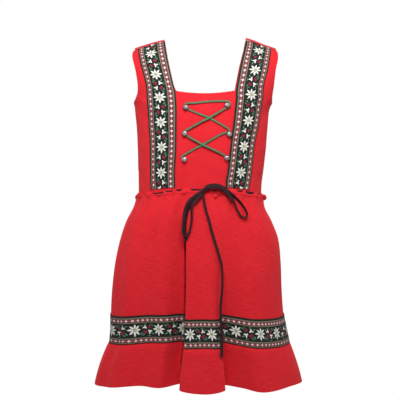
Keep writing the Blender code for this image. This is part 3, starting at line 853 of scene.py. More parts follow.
topRows = ((-40, -22, 6), (-22, -9, 6), (-9, 0, 6), (0, 5, 6), (5, 6, 4))
frontRows = rowsBetween((-269, -112, 62), (-112, -105, 5), (-105, -94.5, 5), (-94.5, -40, 24), *topRows)
backRows = rowsBetween((-269, -112, 62), (-112, -105, 5), (-105, -88, 8), (-88, -40, 20), *topRows)


def neckCells(rows, neckline):
    used = np.ones((len(rows) - 1, sum(bodiceLook["steps"])), bool)
    start = int(np.argmin(np.abs(rows - neckline)))
    used[start:, neckLeft:neckRight] = False
    return used, start


frontGrid = bodiceGrid(frontRows, -1, bodiceCreases)
backGrid = bodiceGrid(backRows, 1, bodiceCreases)
frontUsed, frontNeck = neckCells(frontRows, form["neckline"])
backUsed, backNeck = neckCells(backRows, form["backNeckline"])

# The square neck's corners are rounded: a sliver of cloth fills each.
cornerShares = (0.5, 0.2, 0.04)
for corner, inward in ((neckLeft, 1), (neckRight, -1)):
    for row, share in enumerate(cornerShares, frontNeck + 1):
        edge = frontGrid[row, corner]
        frontGrid[row, corner + inward] = edge + share * (frontGrid[row, corner + inward] - edge)
    frontUsed[frontNeck:frontNeck + len(cornerShares), min(corner, corner + inward)] = True
bodice = clothPiece(
    "bodiceCloth",
    [(frontGrid, patternOf(frontGrid), -1, frontUsed), (backGrid, patternOf(backGrid), 1, backUsed)],
    smoothCrepe, thickness=bodiceLook["wall"],
)
stand(bodice, "red_cloth", "bodice_front", "bodice_back")
print("bodice area", halfArea(bodice))

# The braid on the bodice

trimLook = {
    "lift": 0.35, "wall": 0.9, "end": -256.0, "slack": 1.5, "top": 5.0,
    "blossom": -233.4, "leftStretch": 1.03,
}

# How much further the left braid's pattern has run at each height.
trimEase = table("height more", (-190, 0.3), (-149, 1.3), (-107, 1.9), (-66, 4.1), (-28, 1.8), (5, 1.8))

frontNormals = normalsOf(frontGrid, -1)
lowest = trimLook["end"] - trimLook["slack"]
rows = np.nonzero((frontRows >= lowest) & (frontRows <= trimLook["top"]))[0]
trims = (("trimLeft", "trim_left", bodiceLook["steps"][0]), ("trimRight", "trim_right", neckRight))
for name, node, start in trims:
    columns = np.arange(start, start + bodiceLook["steps"][1] + 1)
    cells = np.ix_(rows, columns)
    points = frontGrid[cells] + frontNormals[cells] * (trimLook["lift"] + trimLook["wall"])
    run = lengthsAlong(points[:, len(columns) // 2])
    run -= np.interp(trimLook["blossom"], points[:, len(columns) // 2, 2], run)
    if name == "trimLeft":
        more = np.interp(points[:, len(columns) // 2, 2], trimEase["height"], trimEase["more"])
        run = run * trimLook["leftStretch"] + braidLook["repeat"] + more
    spread = np.linspace(0, braidLook["width"], len(columns))
    trim = clothPiece(name, [(points, spreadOut(spread, run), -1)], braid, thickness=trimLook["wall"])
    stand(trim, "braid", node)
    flatSize = (braidLook["width"] * mm, round((run[-1] - run[0]) * mm, 4))
print("trims")

# The lacing and its buttons

laceLook = {
    "surface": {"roughness": 0.7, "sheen": 0.1, "specular": 0.25}, "relief": (0.5, 0.0003),
    "width": 4.0, "thickness": 2.1, "low": 0.25, "high": 2.35, "pinch": 0.6, "rib": 1.4,
    # crossings: where the cord crosses itself; near them it is coloured a brighter green, over the given
    # reach.
    "crossings": ((7.0, -141.5), (-4.2, -186.3)), "crossingReach": 7.0,
    # The rim and dip colours, with their shares on the next line, are painted shade: on the cord's rims and
    # in the dips between its wales.
    "worn": "#496E50", "dusty": "#808364", "nearCrossing": "#2B9A66", "rim": "#2A3524", "dip": "#3A5238",
    "wearScale": 160.0, "rimShadeAt": (0.2, 0.46), "rimShadeShare": 0.9, "dipShadeShare": 0.4,
}

# One cord from the lowest left button to the lowest right one. The rows give a place across
# and up the front, how far over the cloth the cord runs (0 low, 1 high) and its width there.
laceRoute = table(
    "x z over width",
    (-36, -212, 0, 0.8), (-38.6, -209, 0, 0.9), (-38.4, -205.8, 0, 0.95), (-28.3, -199.8, 0, 1),
    (-17, -193.2, 0, 1), (-8.7, -189.3, 0, 1), (-2.7, -186.3, 0, 0.9), (6.3, -180.6, 0, 1),
    (16.8, -174.7, 0, 1), (28.1, -168.7, 0, 1), (35.6, -166, 0, 0.8), (37.2, -170.2, 0, 0.6),
    (40, -171.8, 0, 0.6), (42.7, -169.6, 0.1, 0.6), (41.8, -166.2, 0.2, 0.6), (39.8, -162.2, 0.3, 0.75),
    (37.4, -158.9, 0.3, 0.9), (28.1, -153.4, 0, 1), (16.8, -147, 0, 1), (10.8, -143.6, 0, 1),
    (7, -141.5, 0, 0.9), (1.8, -139.4, 0, 1), (-8.7, -135.5, 0, 1), (-20.8, -130.4, 0, 1),
    (-28.3, -127.1, 0, 0.85), (-31, -127, 0, 0.6), (-35.2, -124.8, 0.1, 0.6), (-34.6, -120.8, 0.3, 0.6),
    (-31.2, -117.5, 0.4, 0.8), (-26.8, -116.6, 0.3, 0.95), (-17, -116.6, 0.1, 1), (-5.7, -115.2, 0, 1),
    (5.5, -114.1, 0, 1), (16.8, -113.5, 0, 1), (27.3, -113.2, 0, 1), (33.4, -113.1, 0, 0.9),
    (38.6, -113.9, 0, 0.7), (41.2, -116.4, 0.1, 0.6), (40.8, -121, 0.2, 0.6), (37.5, -123.6, 0.4, 0.65),
    (33.3, -125.7, 0.7, 0.85), (24.3, -131, 1, 1), (10.8, -139.3, 1.05, 1), (7, -141.5, 1.05, 1),
    (1.8, -144.2, 1, 1), (-8.7, -149.4, 1, 1), (-20.8, -156.2, 0.8, 1), (-30.6, -161.8, 0.4, 0.85),
    (-36, -164.6, 0.3, 0.6), (-37.4, -167.8, 0.3, 0.6), (-36, -170.8, 0.4, 0.6), (-32.1, -170.8, 0.6, 0.7),
    (-24.5, -175.4, 0.9, 1), (-13.3, -181.7, 1, 1), (-5.7, -185.9, 1.05, 1), (3.3, -190.4, 1, 1),
    (13.1, -194.7, 1, 1), (24.3, -200.2, 0.7, 1), (30.4, -203.6, 0.2, 0.9), (34, -205.8, 0.1, 0.7),
)


# Flat braided lacing cord: olive green with dusty patches, a brighter green near its two crossings, and
# painted shade on both rims and in the dips between its wales.
def laceMaterial():
    look = laceLook
    material, tree, shader = newMaterial("braidedCord", **look["surface"])
    add, times = sums(tree)[:2]
    along, across, nearCrossing = (attribute(tree, name) for name in ("along", "across", "nearCrossing"))
    away = calc(tree, "ABSOLUTE", across)
    stitch = add(times(along, 1 / mm), times(away, look["width"]))
    wale = calc(tree, "SINE", times(stitch, 2 * math.pi / look["rib"]))
    wear = noise(tree, objectPlace(tree), look["wearScale"], 2.0)
    colour = mix(tree, wear, linear(look["worn"]), linear(look["dusty"]))
    colour = mix(tree, nearCrossing, colour, linear(look["nearCrossing"]))
    # Painted shade: the cord is coloured darker towards both rims, where a round cord turns from the light.
    rim = times(remap(tree, away, *look["rimShadeAt"]), look["rimShadeShare"])
    colour = mix(tree, rim, colour, linear(look["rim"]))
    # Painted shade: the dips between the wales are coloured darker.
    colour = mix(tree, remap(tree, wale, 0.0, -1.0, 0.0, look["dipShadeShare"]), colour, linear(look["dip"]))
    paint(tree, shader, colour, wale, *look["relief"])
    return material


def stored(tree, geometry, name, value):
    return outOf(
        tree, "GeometryNodeStoreNamedAttribute", {"Geometry": geometry, "Name": name, "Value": value},
        data_type="FLOAT", domain="POINT",
    )


# A cord of oval section along edges: it keeps its flat side to the cloth.
def cordTree():
    tree, start = newTree("cordAlong", "Width", "Thickness")
    line = outOf(tree, "GeometryNodeMeshToCurve", {0: start["Geometry"]})
    facing = outOf(tree, "GeometryNodeInputNamedAttribute", {"Name": "facing"}, data_type="FLOAT_VECTOR")
    narrow = outOf(tree, "GeometryNodeInputNamedAttribute", {"Name": "narrow"}, data_type="FLOAT")
    line = outOf(tree, "GeometryNodeSetCurveNormal", {"Curve": line, "Normal": facing}, mode="FREE")
    line = outOf(tree, "GeometryNodeSetCurveRadius", {"Curve": line, "Radius": narrow})
    line = stored(tree, line, "along", addNode(tree, "GeometryNodeSplineParameter").outputs["Length"])
    oval = outOf(tree, "GeometryNodeCurvePrimitiveCircle", {"Resolution": 14, "Radius": 0.5})
    spot = addNode(tree, "ShaderNodeSeparateXYZ", {0: outOf(tree, "GeometryNodeInputPosition")})
    oval = stored(tree, oval, "across", spot.outputs[1])
    size = outOf(tree, "ShaderNodeCombineXYZ", {0: start["Thickness"], 1: start["Width"], 2: 1.0})
    oval = outOf(tree, "GeometryNodeTransform", {"Geometry": oval, "Scale": size})
    tube = outOf(tree, "GeometryNodeCurveToMesh", {"Curve": line, "Profile Curve": oval, "Fill Caps": True})
    return endTree(tree, tube, start["Material"])


def laceLine():
    last = len(laceRoute["x"]) - 1
    places = np.linspace(0, last, last * 6 + 1)
    lace = {name: curve(values, places) for name, values in laceRoute.items()}
    centres, facing = [], []
    for x, z, over in zip(lace["x"], lace["z"], lace["over"]):
        point, normal = onFront(x, z)
        rise = laceLook["low"] + (laceLook["high"] - laceLook["low"]) * max(0.0, over)
        centres.append(point + normal * (rise + laceLook["thickness"] / 2))
        facing.append(normal)
    return np.array(centres), np.array(facing), np.clip(lace["width"], laceLook["pinch"], 1)


centres, facing, widths = laceLine()
laceMesh = edgeMesh("lacing", [(centres, facing, widths)])
# The cord is coloured a brighter green close to its two crossings.
crossings = [onFront(x, z)[0] for x, z in laceLook["crossings"]]
nearest = np.min([np.linalg.norm(centres - crossing, axis=1) for crossing in crossings], axis=0)
setValues(laceMesh, "nearCrossing", np.exp(-(nearest / laceLook["crossingReach"]) ** 2))
lacing = grow(
    "lacing", laceMesh, cordTree(), laceMaterial(), Width=laceLook["width"] * mm,
    Thickness=laceLook["thickness"] * mm,
)
stand(lacing, "lacing", "lace_1", "lace_2", "lace_3", "lace_4", "lace_5")
print("lacing length", lengthsAlong(centres)[-1])

buttonLook = {
    "surface": {"roughness": 0.3, "metallic": 1.0}, "relief": (0.15, 0.0002),
    "radius": 4.8, "base": 3.6, "rim": 0.6, "dome": 3.2, "shank": 1.7, "petals": 8, "spokes": 64,
    "petalFrom": 0.34, "petalTo": 0.86, "boss": 0.26, "rope": 0.88, "strands": 24, "carving": 0.45,
    "level": 0.6, "topTilt": 87, "tilts": 30, "bright": "#D2C8CA", "dark": "#4E3A42",
    "wearScale": 700.0, "age": 0.75, "ageVaries": 0.5, "polish": (0.22, 0.6),
}
buttonPlaces = (
    ("Left", 1, -32.0, -123.6), ("Right", 1, 36.3, -119.9),
    ("Left", 2, -34.0, -167.7), ("Right", 2, 39.9, -168.9),
    ("Left", 3, -34.5, -211.4), ("Right", 3, 35.9, -208.6),
)


# Stamped silver-coloured metal: bright on the raised petals and dark with age in its hollows.
def buttonMaterial():
    look = buttonLook
    material, tree, shader = newMaterial("stampedSilver", **look["surface"])
    add, times = sums(tree)[:2]
    wear = noise(tree, objectPlace(tree), look["wearScale"], 3.0)
    dark = times(attribute(tree, "hollow"), add(look["age"], times(wear, look["ageVaries"])))
    tree.links.new(remap(tree, dark, 0.0, 1.0, *look["polish"]), shader.inputs["Roughness"])
    paint(tree, shader, mix(tree, dark, linear(look["bright"]), linear(look["dark"])), wear, *look["relief"])
    return material


def buttonMesh(name, base, axis):
    look, spokes = buttonLook, buttonLook["spokes"]
    side = np.cross(axis, (0, 0, 1))
    side /= np.linalg.norm(side)
    up = np.cross(side, axis)
    tilts = np.radians(np.linspace(0, look["topTilt"], look["tilts"]))
    top = look["base"] + look["rim"]
    profile = [(look["shank"], 0.3, 0), (look["shank"], look["base"], 0)]
    profile += [(look["radius"] * 0.9, look["base"], 0), (look["radius"], look["base"] + 0.25, 0)]
    profile += [(look["radius"] * math.cos(t), top + look["dome"] * math.sin(t), 1) for t in tilts]
    turn = np.linspace(0, 2 * math.pi, spokes, endpoint=False)
    petal = np.abs(np.cos(look["petals"] / 2 * turn)) ** 0.8
    vertices, hollows = [], []
    for radius, height, carved in profile:
        share = radius / look["radius"]
        petalZone = smooth((share - look["petalFrom"]) * 9) * smooth((look["petalTo"] - share) * 9)
        boss = smooth((look["boss"] - share) * 12)
        rope = smooth((share - look["rope"]) * 14) * (0.5 + 0.5 * np.sin(look["strands"] * turn + share * 8))
        relief = np.maximum(np.maximum(petalZone * petal, boss), rope) if carved else np.ones(spokes)
        out = (height + look["carving"] * (relief - look["level"]) * carved) * np.ones(spokes)
        ringPoints = base + np.outer(np.cos(turn), side) * radius + np.outer(np.sin(turn), up) * radius
        vertices += [tuple(point) for point in (ringPoints + out[:, None] * axis) * mm]
        hollows += list(1 - relief)
    mesh = bpy.data.meshes.new(name)
    mesh.from_pydata(vertices, [], tubeFaces(len(profile), spokes))
    setValues(mesh, "hollow", hollows)
    turnFacesOut(mesh)
    return mesh


silver = buttonMaterial()
for side, number, x, z in buttonPlaces:
    name = f"button{side}{number}"
    button = newPiece(name, buttonMesh(name, *onFront(x, z)), silver)
    stand(button, "buttons", f"button_{side.lower()}_{number}")
print("lacing and buttons")

# The skirt, its band and the flounce

skirtLook = {
    "pointsEachWave": 14, "rows": 78, "topRows": 18, "flounceRows": 30, "wall": 1.3, "foldSpread": 1.25,
    "gathersEnd": -292.0, "hemLiftReach": 60,
}

# Soft gathers: angles from the middle at the top and bottom of each, the height at which it
# ends, its push outwards and its half width, in millimetres.
gatherLook = {"top": -272.0, "above": 6, "fadeIn": 8, "fadeOut": 0.8, "widening": 0.5}
frontFolds = table(
    "angleHigh angleLow low push width",
    (-72, -69, -318, 0.3, 4.5),
    (-66, -63, -345, -0.6, 5),
    (-58, -57, -310, 0.9, 4.5),
    (-50, -47, -372, -2.1, 4.6),
    (-43, -43, -305, 1.3, 3.6),
    (-36, -33, -400, -1.8, 5.5),
    (-30, -29, -300, -1.4, 3.2),
    (-23, -20, -330, -2.2, 4.2),
    (-17, -16.5, -302, 1.6, 3.4),
    (-11, -10, -325, -1.8, 3.4),
    (-4, -4.5, -312, 1.2, 3.6),
    (1, 0, -352, -1.7, 3.2),
    (6, 7, -298, 1.2, 3),
    (14, 14, -322, -1.9, 3.6),
    (20, 22, -300, 1.3, 3.6),
    (25, 27, -385, -2.2, 4.6),
    (33, 36, -318, 1.4, 4.2),
    (39, 43, -345, -1.8, 4),
    (48, 51, -306, -1.5, 3.6),
    (56, 58, -338, 0.9, 4.6),
    (63, 66, -360, -0.6, 5),
    (72, 73, -312, 0.3, 4.2),
)
backFolds = table(
    "angleHigh angleLow low push width",
    (-82, -80, -336, -1.6, 4.2),
    (-73, -72, -312, 1.4, 4.4),
    (-64, -62, -356, -2, 4.4),
    (-55, -55, -306, 1.3, 3.8),
    (-46, -44, -372, -2, 5),
    (-37, -38, -314, -1.5, 3.6),
    (-29, -27, -346, 1.7, 4.6),
    (-20, -19, -326, -1.9, 3.8),
    (-12, -12, -304, 1.3, 3.4),
    (-4, -6, -390, -2.1, 5),
    (5, 5, -316, 1.4, 3.8),
    (13, 14, -340, -1.8, 4),
    (22, 24, -308, 1.4, 3.8),
    (30, 32, -364, -2.1, 4.8),
    (40, 40, -312, 1.3, 4),
    (49, 52, -350, -1.9, 4.4),
    (58, 59, -316, -1.4, 3.8),
    (68, 66, -334, 1.5, 4.6),
    (78, 79, -348, -1.8, 4.2),
)

# Small creases of the skirt's front, as on the bodice.
skirtCreases = table(
    "x1 z1 x2 z2 push width",
    (11.4, -272.2, 17.9, -278.4, -2.6, 1.5),
    (25.5, -272.2, 17.9, -278.4, -2.6, 1.5),
    (18.2, -273.4, 18.4, -274.6, 1.8, 2),
    (-22, -546, -14, -551, -0.8, 2.4),
    (-118, -330, -96, -340, 0.5, 5),
    (70, -392, 96, -402, 0.5, 7),
    (-80, -430, -50, -438, 0.5, 7),
)


def foldPush(angles, section, folds):
    look, height = gatherLook, section["height"]
    push = np.zeros(len(angles))
    for angleHigh, angleLow, low, depth, width in zip(*folds.values()):
        if height > look["top"] + look["above"] or height < low:
            continue
        share = np.clip((look["top"] - height) / (look["top"] - low), 0, 1)
        middle = angleHigh + (angleLow - angleHigh) * share
        distance = np.radians(angles - middle) * section["halfWidth"]
        fade = smooth((look["top"] + look["above"] - height) / look["fadeIn"])
        fade *= smooth((height - low) / ((look["top"] - low) * look["fadeOut"]))
        push += depth * fade * np.exp(-(distance / (width * (1 + look["widening"] * share))) ** 2)
    return push


# The heading's upper edge: how high it stands over the waist seam and how far it bulges out.
# The drawstring shows where the edge dips. The skirt's top bulges with it. Behind, the edge
# waves by a rule of its own.
headingFront = table(
    "x top bulge",
    (-116, 8, 1.5), (-110.5, 9.5, 2.5), (-105.5, 8, 2.4), (-101.5, 4.4, 0.6), (-96, 8.6, 3.6),
    (-90, 7, 2.8), (-86, 3, 2.2), (-78, 2.6, 1.6), (-70.5, 3, 1.6), (-68, 6.8, 2.6),
    (-65.5, 4.6, 1.8), (-60, 4.2, 1.4), (-55, 4.8, 1.8), (-51.5, 9.6, 3.4), (-48, 5.4, 2.4),
    (-41.5, 4.8, 1.4), (-37, 8.8, 2.8), (-30, 9.8, 4.2), (-25.8, 8.6, 3), (-22.5, 5, 1.6),
    (-15, 4.6, 1.4), (-9, 5, 1.8), (-5, 8, 2.2), (4, 9.4, 2.8), (10.5, 9.8, 3.4),
    (13.5, 5.2, 1.8), (19.5, 6, 2), (23, 10, 3.4), (28, 8.4, 2), (34, 8.4, 2), (41, 9.8, 3),
    (50, 9.6, 3.4), (54, 6, 2.2), (61, 6, 2), (64.8, 10.2, 3.2), (68.4, 5.4, 1.8),
    (74, 3.8, 1.2), (79.5, 4.6, 1.4), (84.5, 9, 2.8), (89.5, 5.6, 0.4), (93, 8.4, 2.5),
    (98, 8, 1.5),
)
headingBack = {"top": 8.4, "topWave": 1.6, "endTop": 8.0, "bulge": 2.4, "bulgeWave": 1.1, "endBulge": 1.5}
headingLook = {"standOff": 1.5, "wall": 1.2, "steps": 260, "rows": 20, "seamShare": 0.85, "seamReach": 6.0}
sideCurl = {
    "from": 0.86, "left": 4.6, "right": 4.2, "insetLeft": 5.2, "insetRight": 1.0, "drop": 1.8,
    "start": 50, "turn": 340,
}


def headingShape(x, turn, side):
    if side < 0:
        place = np.interp(x, headingFront["x"], np.arange(len(headingFront["x"])))
        return curve(headingFront["top"], place), curve(headingFront["bulge"], place)
    look = headingBack
    wave = np.sin(turn * 97 + 1.6 * np.sin(turn * 23)) + 0.5 * np.sin(turn * 61 + 2)
    ends = 1 - smooth(np.minimum(turn, 1 - turn) * 14)
    top = (look["top"] + look["topWave"] * wave) * (1 - ends) + look["endTop"] * ends
    return top, (look["bulge"] + look["bulgeWave"] * wave) * (1 - ends) + look["endBulge"] * ends


# The deep fold left of the middle: where its front edge stands at each height, how fully it
# is drawn there, and how deep the slit beside it runs. Its offsets are from that edge, at
# places between the waves. The hem lifts a little more at each wave.
deepFold = table(
    "height edge weight slit",
    (-602, -43, 0, 4),
    (-582, -41.5, 0.5, 9),
    (-560, -38.5, 1, 12),
    (-530, -35, 1, 12),
    (-480, -33.3, 1, 13),
    (-440, -32.2, 1, 17),
    (-345, -32.2, 1, 15),
    (-320, -32.6, 0.5, 6),
    (-296, -33, 0, 0),
)
foldShape = table("place offset", (6.0, -5.0), (6.3, -0.9), (6.55, 3.0), (6.85, 0.0), (7.4, 7.0))
foldReach = {"from": 5, "to": 8, "closeFrom": 6, "closeTo": 7.2, "closePoints": 31}
slitShape = {"place": 6.3, "halfWidth": 0.11}
hemLift = np.array((0, 0, 0, 0, 0, -3, 0, 2.5, -2.8, 2.5, 0, 0, -1, 6, 2.5), float)


def skirtGrid(sections, heights, waves, folds, side):
    last = len(waves["pushTop"]) - 1
    places = np.linspace(0, last, last * skirtLook["pointsEachWave"] + 1)
    if side < 0:
        close = np.linspace(foldReach["closeFrom"], foldReach["closeTo"], foldReach["closePoints"])
        places = np.union1d(places, close)
    wave = {name: curve(values, places) for name, values in waves.items()}
    grid = []
    for height in heights:
        section = sectionAt(sections, height)
        fall = (form["waist"] - section["height"]) / (form["waist"] - form["hem"])
        spread = min(1.0, skirtLook["foldSpread"] * fall)
        angles = wave["angleTop"] * (1 - spread) + wave["angleHem"] * spread
        points = ring(np.radians(angles), section, side)
        upper = max(0.0, 1 - 2 * fall)
        lower = max(0.0, 2 * fall - 1)
        push = wave["pushTop"] * upper + wave["pushHem"] * lower + wave["pushMid"] * (1 - upper - lower)
        push = push + foldPush(angles, section, folds)
        below = (form["waist"] - height) / headingLook["seamReach"]
        bulge = headingShape(points[:, 0], (angles + 90) / 180, side)[1]
        push = push + headingLook["seamShare"] * math.exp(-(below**2)) * bulge
        along, out = ringDirections(points, side)
        shift = wave["leanHem"] * fall**2
        lift = wave["liftHem"] * spread
        if side < 0:
            edge, weight, slit = (
                np.interp(height, deepFold["height"], deepFold[name]) for name in ("edge", "weight", "slit")
            )
            push = push - slit * np.exp(-(((places - slitShape["place"]) / slitShape["halfWidth"]) ** 2))
            low = smooth((form["bandBottom"] - height) / skirtLook["hemLiftReach"])
            lift = lift + curve(hemLift, places) * low
        points = points + out * push[:, None] + along * shift[:, None]
        if side < 0:
            stands = np.interp(foldShape["place"], places, points[:, 0])
            moves = np.concatenate([[0], edge + foldShape["offset"] - stands, [0]]) * weight
            knots = np.concatenate([[foldReach["from"]], foldShape["place"], [foldReach["to"]]])
            points[:, 0] += np.interp(places, knots, moves)
        points[:, 2] += lift
        grid.append(points)
    grid = np.array(grid)
    if side < 0:
        grid += normalsOf(grid, side) * creasesBetween(grid, skirtCreases)[..., None]
    grid[..., 1] = side * np.maximum(side * grid[..., 1], 0)
    return grid


# The front and the back of a piece, with a pattern that runs out from its left side.
def pairGrids(front, back):
    grids = []
    for points, side in ((front, -1), (back, 1)):
        up = lengthsAlong(points[:, points.shape[1] // 2])
        grids.append((points, spreadOut(lengthsAlong(points[0]) * -side, up), side))
    return grids


skirtHeights = rowsBetween(
    (form["bandBottom"], skirtLook["gathersEnd"], skirtLook["rows"]),
    (skirtLook["gathersEnd"], form["waist"] - form["gap"], skirtLook["topRows"]),
)
flounceHeights = np.linspace(form["hem"], form["bandBottom"] - form["gap"], skirtLook["flounceRows"])
skirtFront = skirtGrid(skirtSections, skirtHeights, frontWaves, frontFolds, -1)
skirtBack = skirtGrid(skirtSections, skirtHeights, backWaves, backFolds, 1)
flounceFront = skirtGrid(flounceSections, flounceHeights, frontWaves, frontFolds, -1)
flounceBack = skirtGrid(flounceSections, flounceHeights, backWaves, backFolds, 1)
for name, front, back, nodes, flatSize in (
    ("skirtCloth", skirtFront, skirtBack, ("skirt_front", "skirt_back"), (1.06, 0.272)),
    ("flounceCloth", flounceFront, flounceBack, ("flounce_front", "flounce_back"), (1.22, 0.086)),
):
    piece = clothPiece(name, pairGrids(front, back), crepe, thickness=skirtLook["wall"])
    stand(piece, "red_cloth", *nodes)
    around = (lengthsAlong(front[0])[-1] + lengthsAlong(back[0])[-1]) * mm
    print(name, "area", halfArea(piece), "round", around)

bandLook = {"lift": 0.3, "wall": 0.9, "rows": 12}

# Where the braid's repeats fall round the front: the band is eased on, so they are not even.
braidEase = table(
    "around pattern",
    (30.4, 44.6), (91.8, 89.2), (135.2, 133.8), (182, 178.4), (186, 181.5), (228, 211.5), (239, 223),
    (274.4, 267.6), (288.5, 282.5), (297.6, 287.5), (312.8, 290), (337.7, 312.2), (380.2, 356.8),
    (416.4, 401.4),
)
braidStart = braidEase["pattern"][0] - braidEase["around"][0]


def bandRun(run):
    around, pattern = braidEase["around"], braidEase["pattern"]
    beyond = np.maximum(run - around[-1], 0) - np.maximum(around[0] - run, 0)
    return np.interp(run, around, pattern) + beyond


bandHeights = np.linspace(form["bandBottom"], form["bandTop"], bandLook["rows"] + 1)
bandGrids = []
for waves, folds, side in ((frontWaves, frontFolds, -1), (backWaves, backFolds, 1)):
    points = skirtGrid(skirtSections, bandHeights, waves, folds, side)
    run = lengthsAlong(points[len(points) // 2])
    run = bandRun(run) if side < 0 else run - braidStart
    out = np.array([ringDirections(row, side)[1] for row in points])
    points = points + out * (bandLook["lift"] + bandLook["wall"])
    points[:, [0, -1], 1] = 0
    spread = np.linspace(braidLook["width"], 0, len(points))
    bandGrids.append((points, spreadOut(side * -run, spread)[..., ::-1], side))
band = clothPiece("braidBand", bandGrids, braid, thickness=bandLook["wall"])
stand(band, "braid", "band_front", "band_back")
print("band area", halfArea(band))

# The heading of the gathered skirt, and the drawstring behind it


def headingGrid(side):
    seam = sectionAt(bodiceSections, form["waist"])
    turn = np.linspace(0, 1, headingLook["steps"] + 1)
    base = ring(math.pi * (turn - 0.5), seam, side)
    out = ringDirections(base, side)[1]
    top, bulge = headingShape(base[:, 0], turn, side)
    curl = smooth((np.abs(2 * turn - 1) - sideCurl["from"]) / (1 - sideCurl["from"]) * 1.6)
    radius = np.where(base[:, 0] < 0, sideCurl["left"], sideCurl["right"])
    inset = np.where(base[:, 0] < 0, sideCurl["insetLeft"], sideCurl["insetRight"])
    start = math.radians(sideCurl["start"])
    grid = []
    for share in np.linspace(0, 1, headingLook["rows"]):
        plainOut = bulge * np.interp(share, (0, 0.35, 0.8, 1), (headingLook["seamShare"], 1, 0.75, 0.3))
        plainUp = top * share
        angle = math.pi + start - math.radians(sideCurl["turn"]) * share
        rolledOut = radius * (math.cos(start) + math.cos(angle)) - inset
        rolledUp = radius * (math.sin(start) + math.sin(angle)) - sideCurl["drop"]
        clear = headingLook["standOff"] + headingLook["wall"] + plainOut * (1 - curl) + rolledOut * curl
        points = base + out * clear[:, None]
        points[:, 2] += plainUp * (1 - curl) + rolledUp * curl
        points[[0, -1], 1] = 0
        grid.append(points)
    return np.array(grid)


headingGrids = pairGrids(headingGrid(-1), headingGrid(1))
heading = clothPiece("waistHeading", headingGrids, crepe, thickness=headingLook["wall"])
stand(heading, "red_cloth", "waist_frill_front", "waist_frill_back")
print("heading area", halfArea(heading))

drawstringLook = {"levels": (-264.0, -262.6, -261.1, -259.6), "clear": 1.3}

# How far the drawstring sags or rises in its casing round the front.
drawstringSag = table(
    "x rise",
    (-116, -2), (-100, -3), (-78, -2.6), (-60, -1.2), (-45, 0.3), (-28, 0.4), (-9, -0.2), (20, 0), (58, 0.6),
    (74, 0.6), (98, -1),
)
drawstringGrids = []
for side in (-1, 1):
    points = bodiceGrid(drawstringLook["levels"], side)
    points = points + normalsOf(points, side) * drawstringLook["clear"]
    points[:, [0, -1], 1] = 0
    if side < 0:
        points[..., 2] += np.interp(points[..., 0], drawstringSag["x"], drawstringSag["rise"])
    run = lengthsAlong(points[0])
    drawstringGrids.append((points, spreadOut(run * -side, lengthsAlong(points[:, 0]))[..., ::-1], side))
drawstring = clothPiece("drawstring", drawstringGrids, grosgrain, thickness=ribbonLook["thickness"])
stand(drawstring, "ribbon", "drawstring_front", "drawstring_back")
print("heading and drawstring", halfArea(drawstring))

# The shoulder seams: a soft roll of turned cloth, thickest beside the neck

seamLook = {"width": 7.5, "thickness": 3.0, "height": 3.0, "lift": 0.9, "thin": 0.3, "rises": (0.2, 3.4)}
seamEase = {"rise": 2.5, "narrowing": 1.3}
seamRow = int(np.argmin(np.abs(frontRows - seamLook["height"])))
seamLines = []
seamColumns = ((neckLeft, 1), (neckRight, frontGrid.shape[1] - 2))
for (inner, outer), rise in zip(seamColumns, seamLook["rises"]):
    columns = np.arange(inner, outer, -1 if outer < inner else 1)
    share = np.linspace(0, 1, len(columns))
    points = frontGrid[seamRow, columns] + frontNormals[seamRow, columns] * seamLook["lift"]
    points[:, 2] += rise * (1 - smooth(share * seamEase["rise"]))
    narrowing = 1 + (seamLook["thin"] - 1) * smooth(share * seamEase["narrowing"])
    seamLines.append((points, frontNormals[seamRow, columns], narrowing))
shoulderSeams = grow(
    "shoulderSeams", edgeMesh("shoulderSeams", seamLines), cordTree(), redThread,
    Width=seamLook["width"] * mm, Thickness=seamLook["thickness"] * mm,
)
stand(shoulderSeams, "red_cloth")

# Stitched edges

stitchLook = {
    "edgeStitches": {"Spacing": 0.003, "Length": 0.002, "Thickness": 0.001, "Uneven": 0.25},
    "hemStitches": {"Spacing": 0.0036, "Length": 0.0024, "Thickness": 0.0004, "Uneven": 0.1},
}
hemHeight = 14.0
rowsUnstitched = 5


# Small rounded stitches at even spacing along edges, a little uneven in size.
def stitchTree():
    tree, start = newTree("stitchesAlong", "Spacing", "Length", "Thickness", "Uneven")
    line = outOf(tree, "GeometryNodeMeshToCurve", {0: start["Geometry"]})
    spacing = {"Curve": line, "Length": start["Spacing"]}
    line = outOf(tree, "GeometryNodeResampleCurve", spacing, mode="LENGTH")
    bead = outOf(tree, "GeometryNodeMeshUVSphere", {"Segments": 8, "Rings": 5, "Radius": 0.5})
    tangent = outOf(tree, "GeometryNodeInputTangent")
    turned = outOf(tree, "FunctionNodeAlignRotationToVector", {"Vector": tangent}, axis="X")
    least, most = (calc(tree, operation, 1.0, start["Uneven"]) for operation in ("SUBTRACT", "ADD"))
    chance = addNode(tree, "FunctionNodeRandomValue", {2: least, 3: most, "Seed": 7}, data_type="FLOAT")
    long, thick = (
        calc(tree, "MULTIPLY", start[name], chance.outputs[1]) for name in ("Length", "Thickness")
    )
    size = outOf(tree, "ShaderNodeCombineXYZ", {0: long, 1: thick, 2: thick})
    beads = outOf(
        tree, "GeometryNodeInstanceOnPoints",
        {"Points": line, "Instance": bead, "Rotation": turned, "Scale": size},
    )
    return endTree(tree, beads, start["Material"])


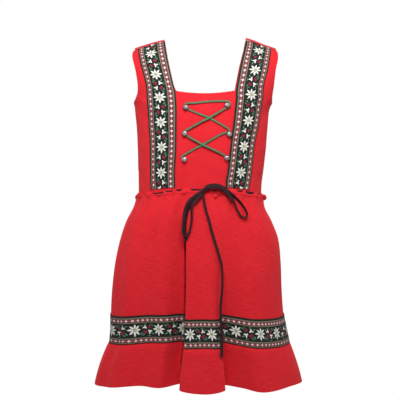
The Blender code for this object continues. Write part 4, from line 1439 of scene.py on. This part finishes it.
edgeLines = []
halves = ((frontGrid, frontRows, frontNeck, -1), (backGrid, backRows, backNeck, 1))
for grid, gridRows, neckRow, side in halves:
    normals = normalsOf(grid, side)
    underarm = int(np.argmin(np.abs(gridRows - form["underarm"])))
    top = len(gridRows) - rowsUnstitched
    for cells in (
        (neckRow, slice(neckLeft, neckRight + 1)),
        (slice(neckRow, top), neckLeft), (slice(neckRow, top), neckRight),
        (slice(underarm, top), 0), (slice(underarm, top), -1),
    ):
        edgeLines.append((grid[cells] - normals[cells] * bodiceLook["wall"] / 2, normals[cells], 1.0))
hemRow = int(np.argmin(np.abs(flounceHeights - (form["hem"] + hemHeight))))
hemLines = []
for grid, side in ((flounceFront, -1), (flounceBack, 1)):
    hemLines.append((grid[hemRow], normalsOf(grid, side)[hemRow], 1.0))
stitches = stitchTree()
for name, lines in (("edgeStitches", edgeLines), ("hemStitches", hemLines)):
    piece = grow(name, edgeMesh(name, lines), stitches, redThread, 180, **stitchLook[name])
    stand(piece, "red_cloth")
print("stitches")

# The floor and the light

studio = {"floorLevel": -0.8, "floorSize": 0.7, "white": "#D6D6D6", "matt": 0.9, "dome": 0.19}

floorMaterial, _, floorShader = newMaterial("paleFloor", studio["matt"])
floorShader.inputs["Base Color"].default_value = linear(studio["white"])
size = studio["floorSize"]
floorMesh = bpy.data.meshes.new("floor")
corners = [(-size, -size), (size, -size), (size, size), (-size, size)]
floorMesh.from_pydata([(x, y, studio["floorLevel"]) for x, y in corners], [], [(0, 1, 2, 3)])
floorMesh.materials.append(floorMaterial)
addObject("floor", floorMesh)

# A white studio: what is seen past the dress is full white, and it lights the dress softly.
world = bpy.data.worlds.new("studio")
world.use_nodes = True
background = world.node_tree.nodes["Background"]
background.inputs["Color"].default_value = (1.0, 1.0, 1.0, 1.0)
seen = addNode(world.node_tree, "ShaderNodeLightPath").outputs["Is Camera Ray"]
strength = remap(world.node_tree, seen, 0.0, 1.0, studio["dome"], 1.0)
world.node_tree.links.new(strength, background.inputs["Strength"])
bpy.context.scene.world = world


def areaLight(name, place, aim, size, power):
    data = bpy.data.lights.new(name, "AREA")
    data.size = size
    data.energy = power
    lamp = addObject(name, data)
    lamp.location = place
    lamp.rotation_euler = Vector(np.array(aim) - np.array(place)).to_track_quat("-Z", "Y").to_euler()
    lamp.visible_camera = False


areaLight("frontLight", (-0.02, -0.67, 0.32), (0, 0, 0.05), 0.5, 9.35)
areaLight("leftFill", (-0.9, -0.3, -0.1), (0, 0, -0.34), 0.6, 2.05)
areaLight("rightFill", (0.9, -0.3, -0.1), (0, 0, -0.34), 0.6, 2.5)
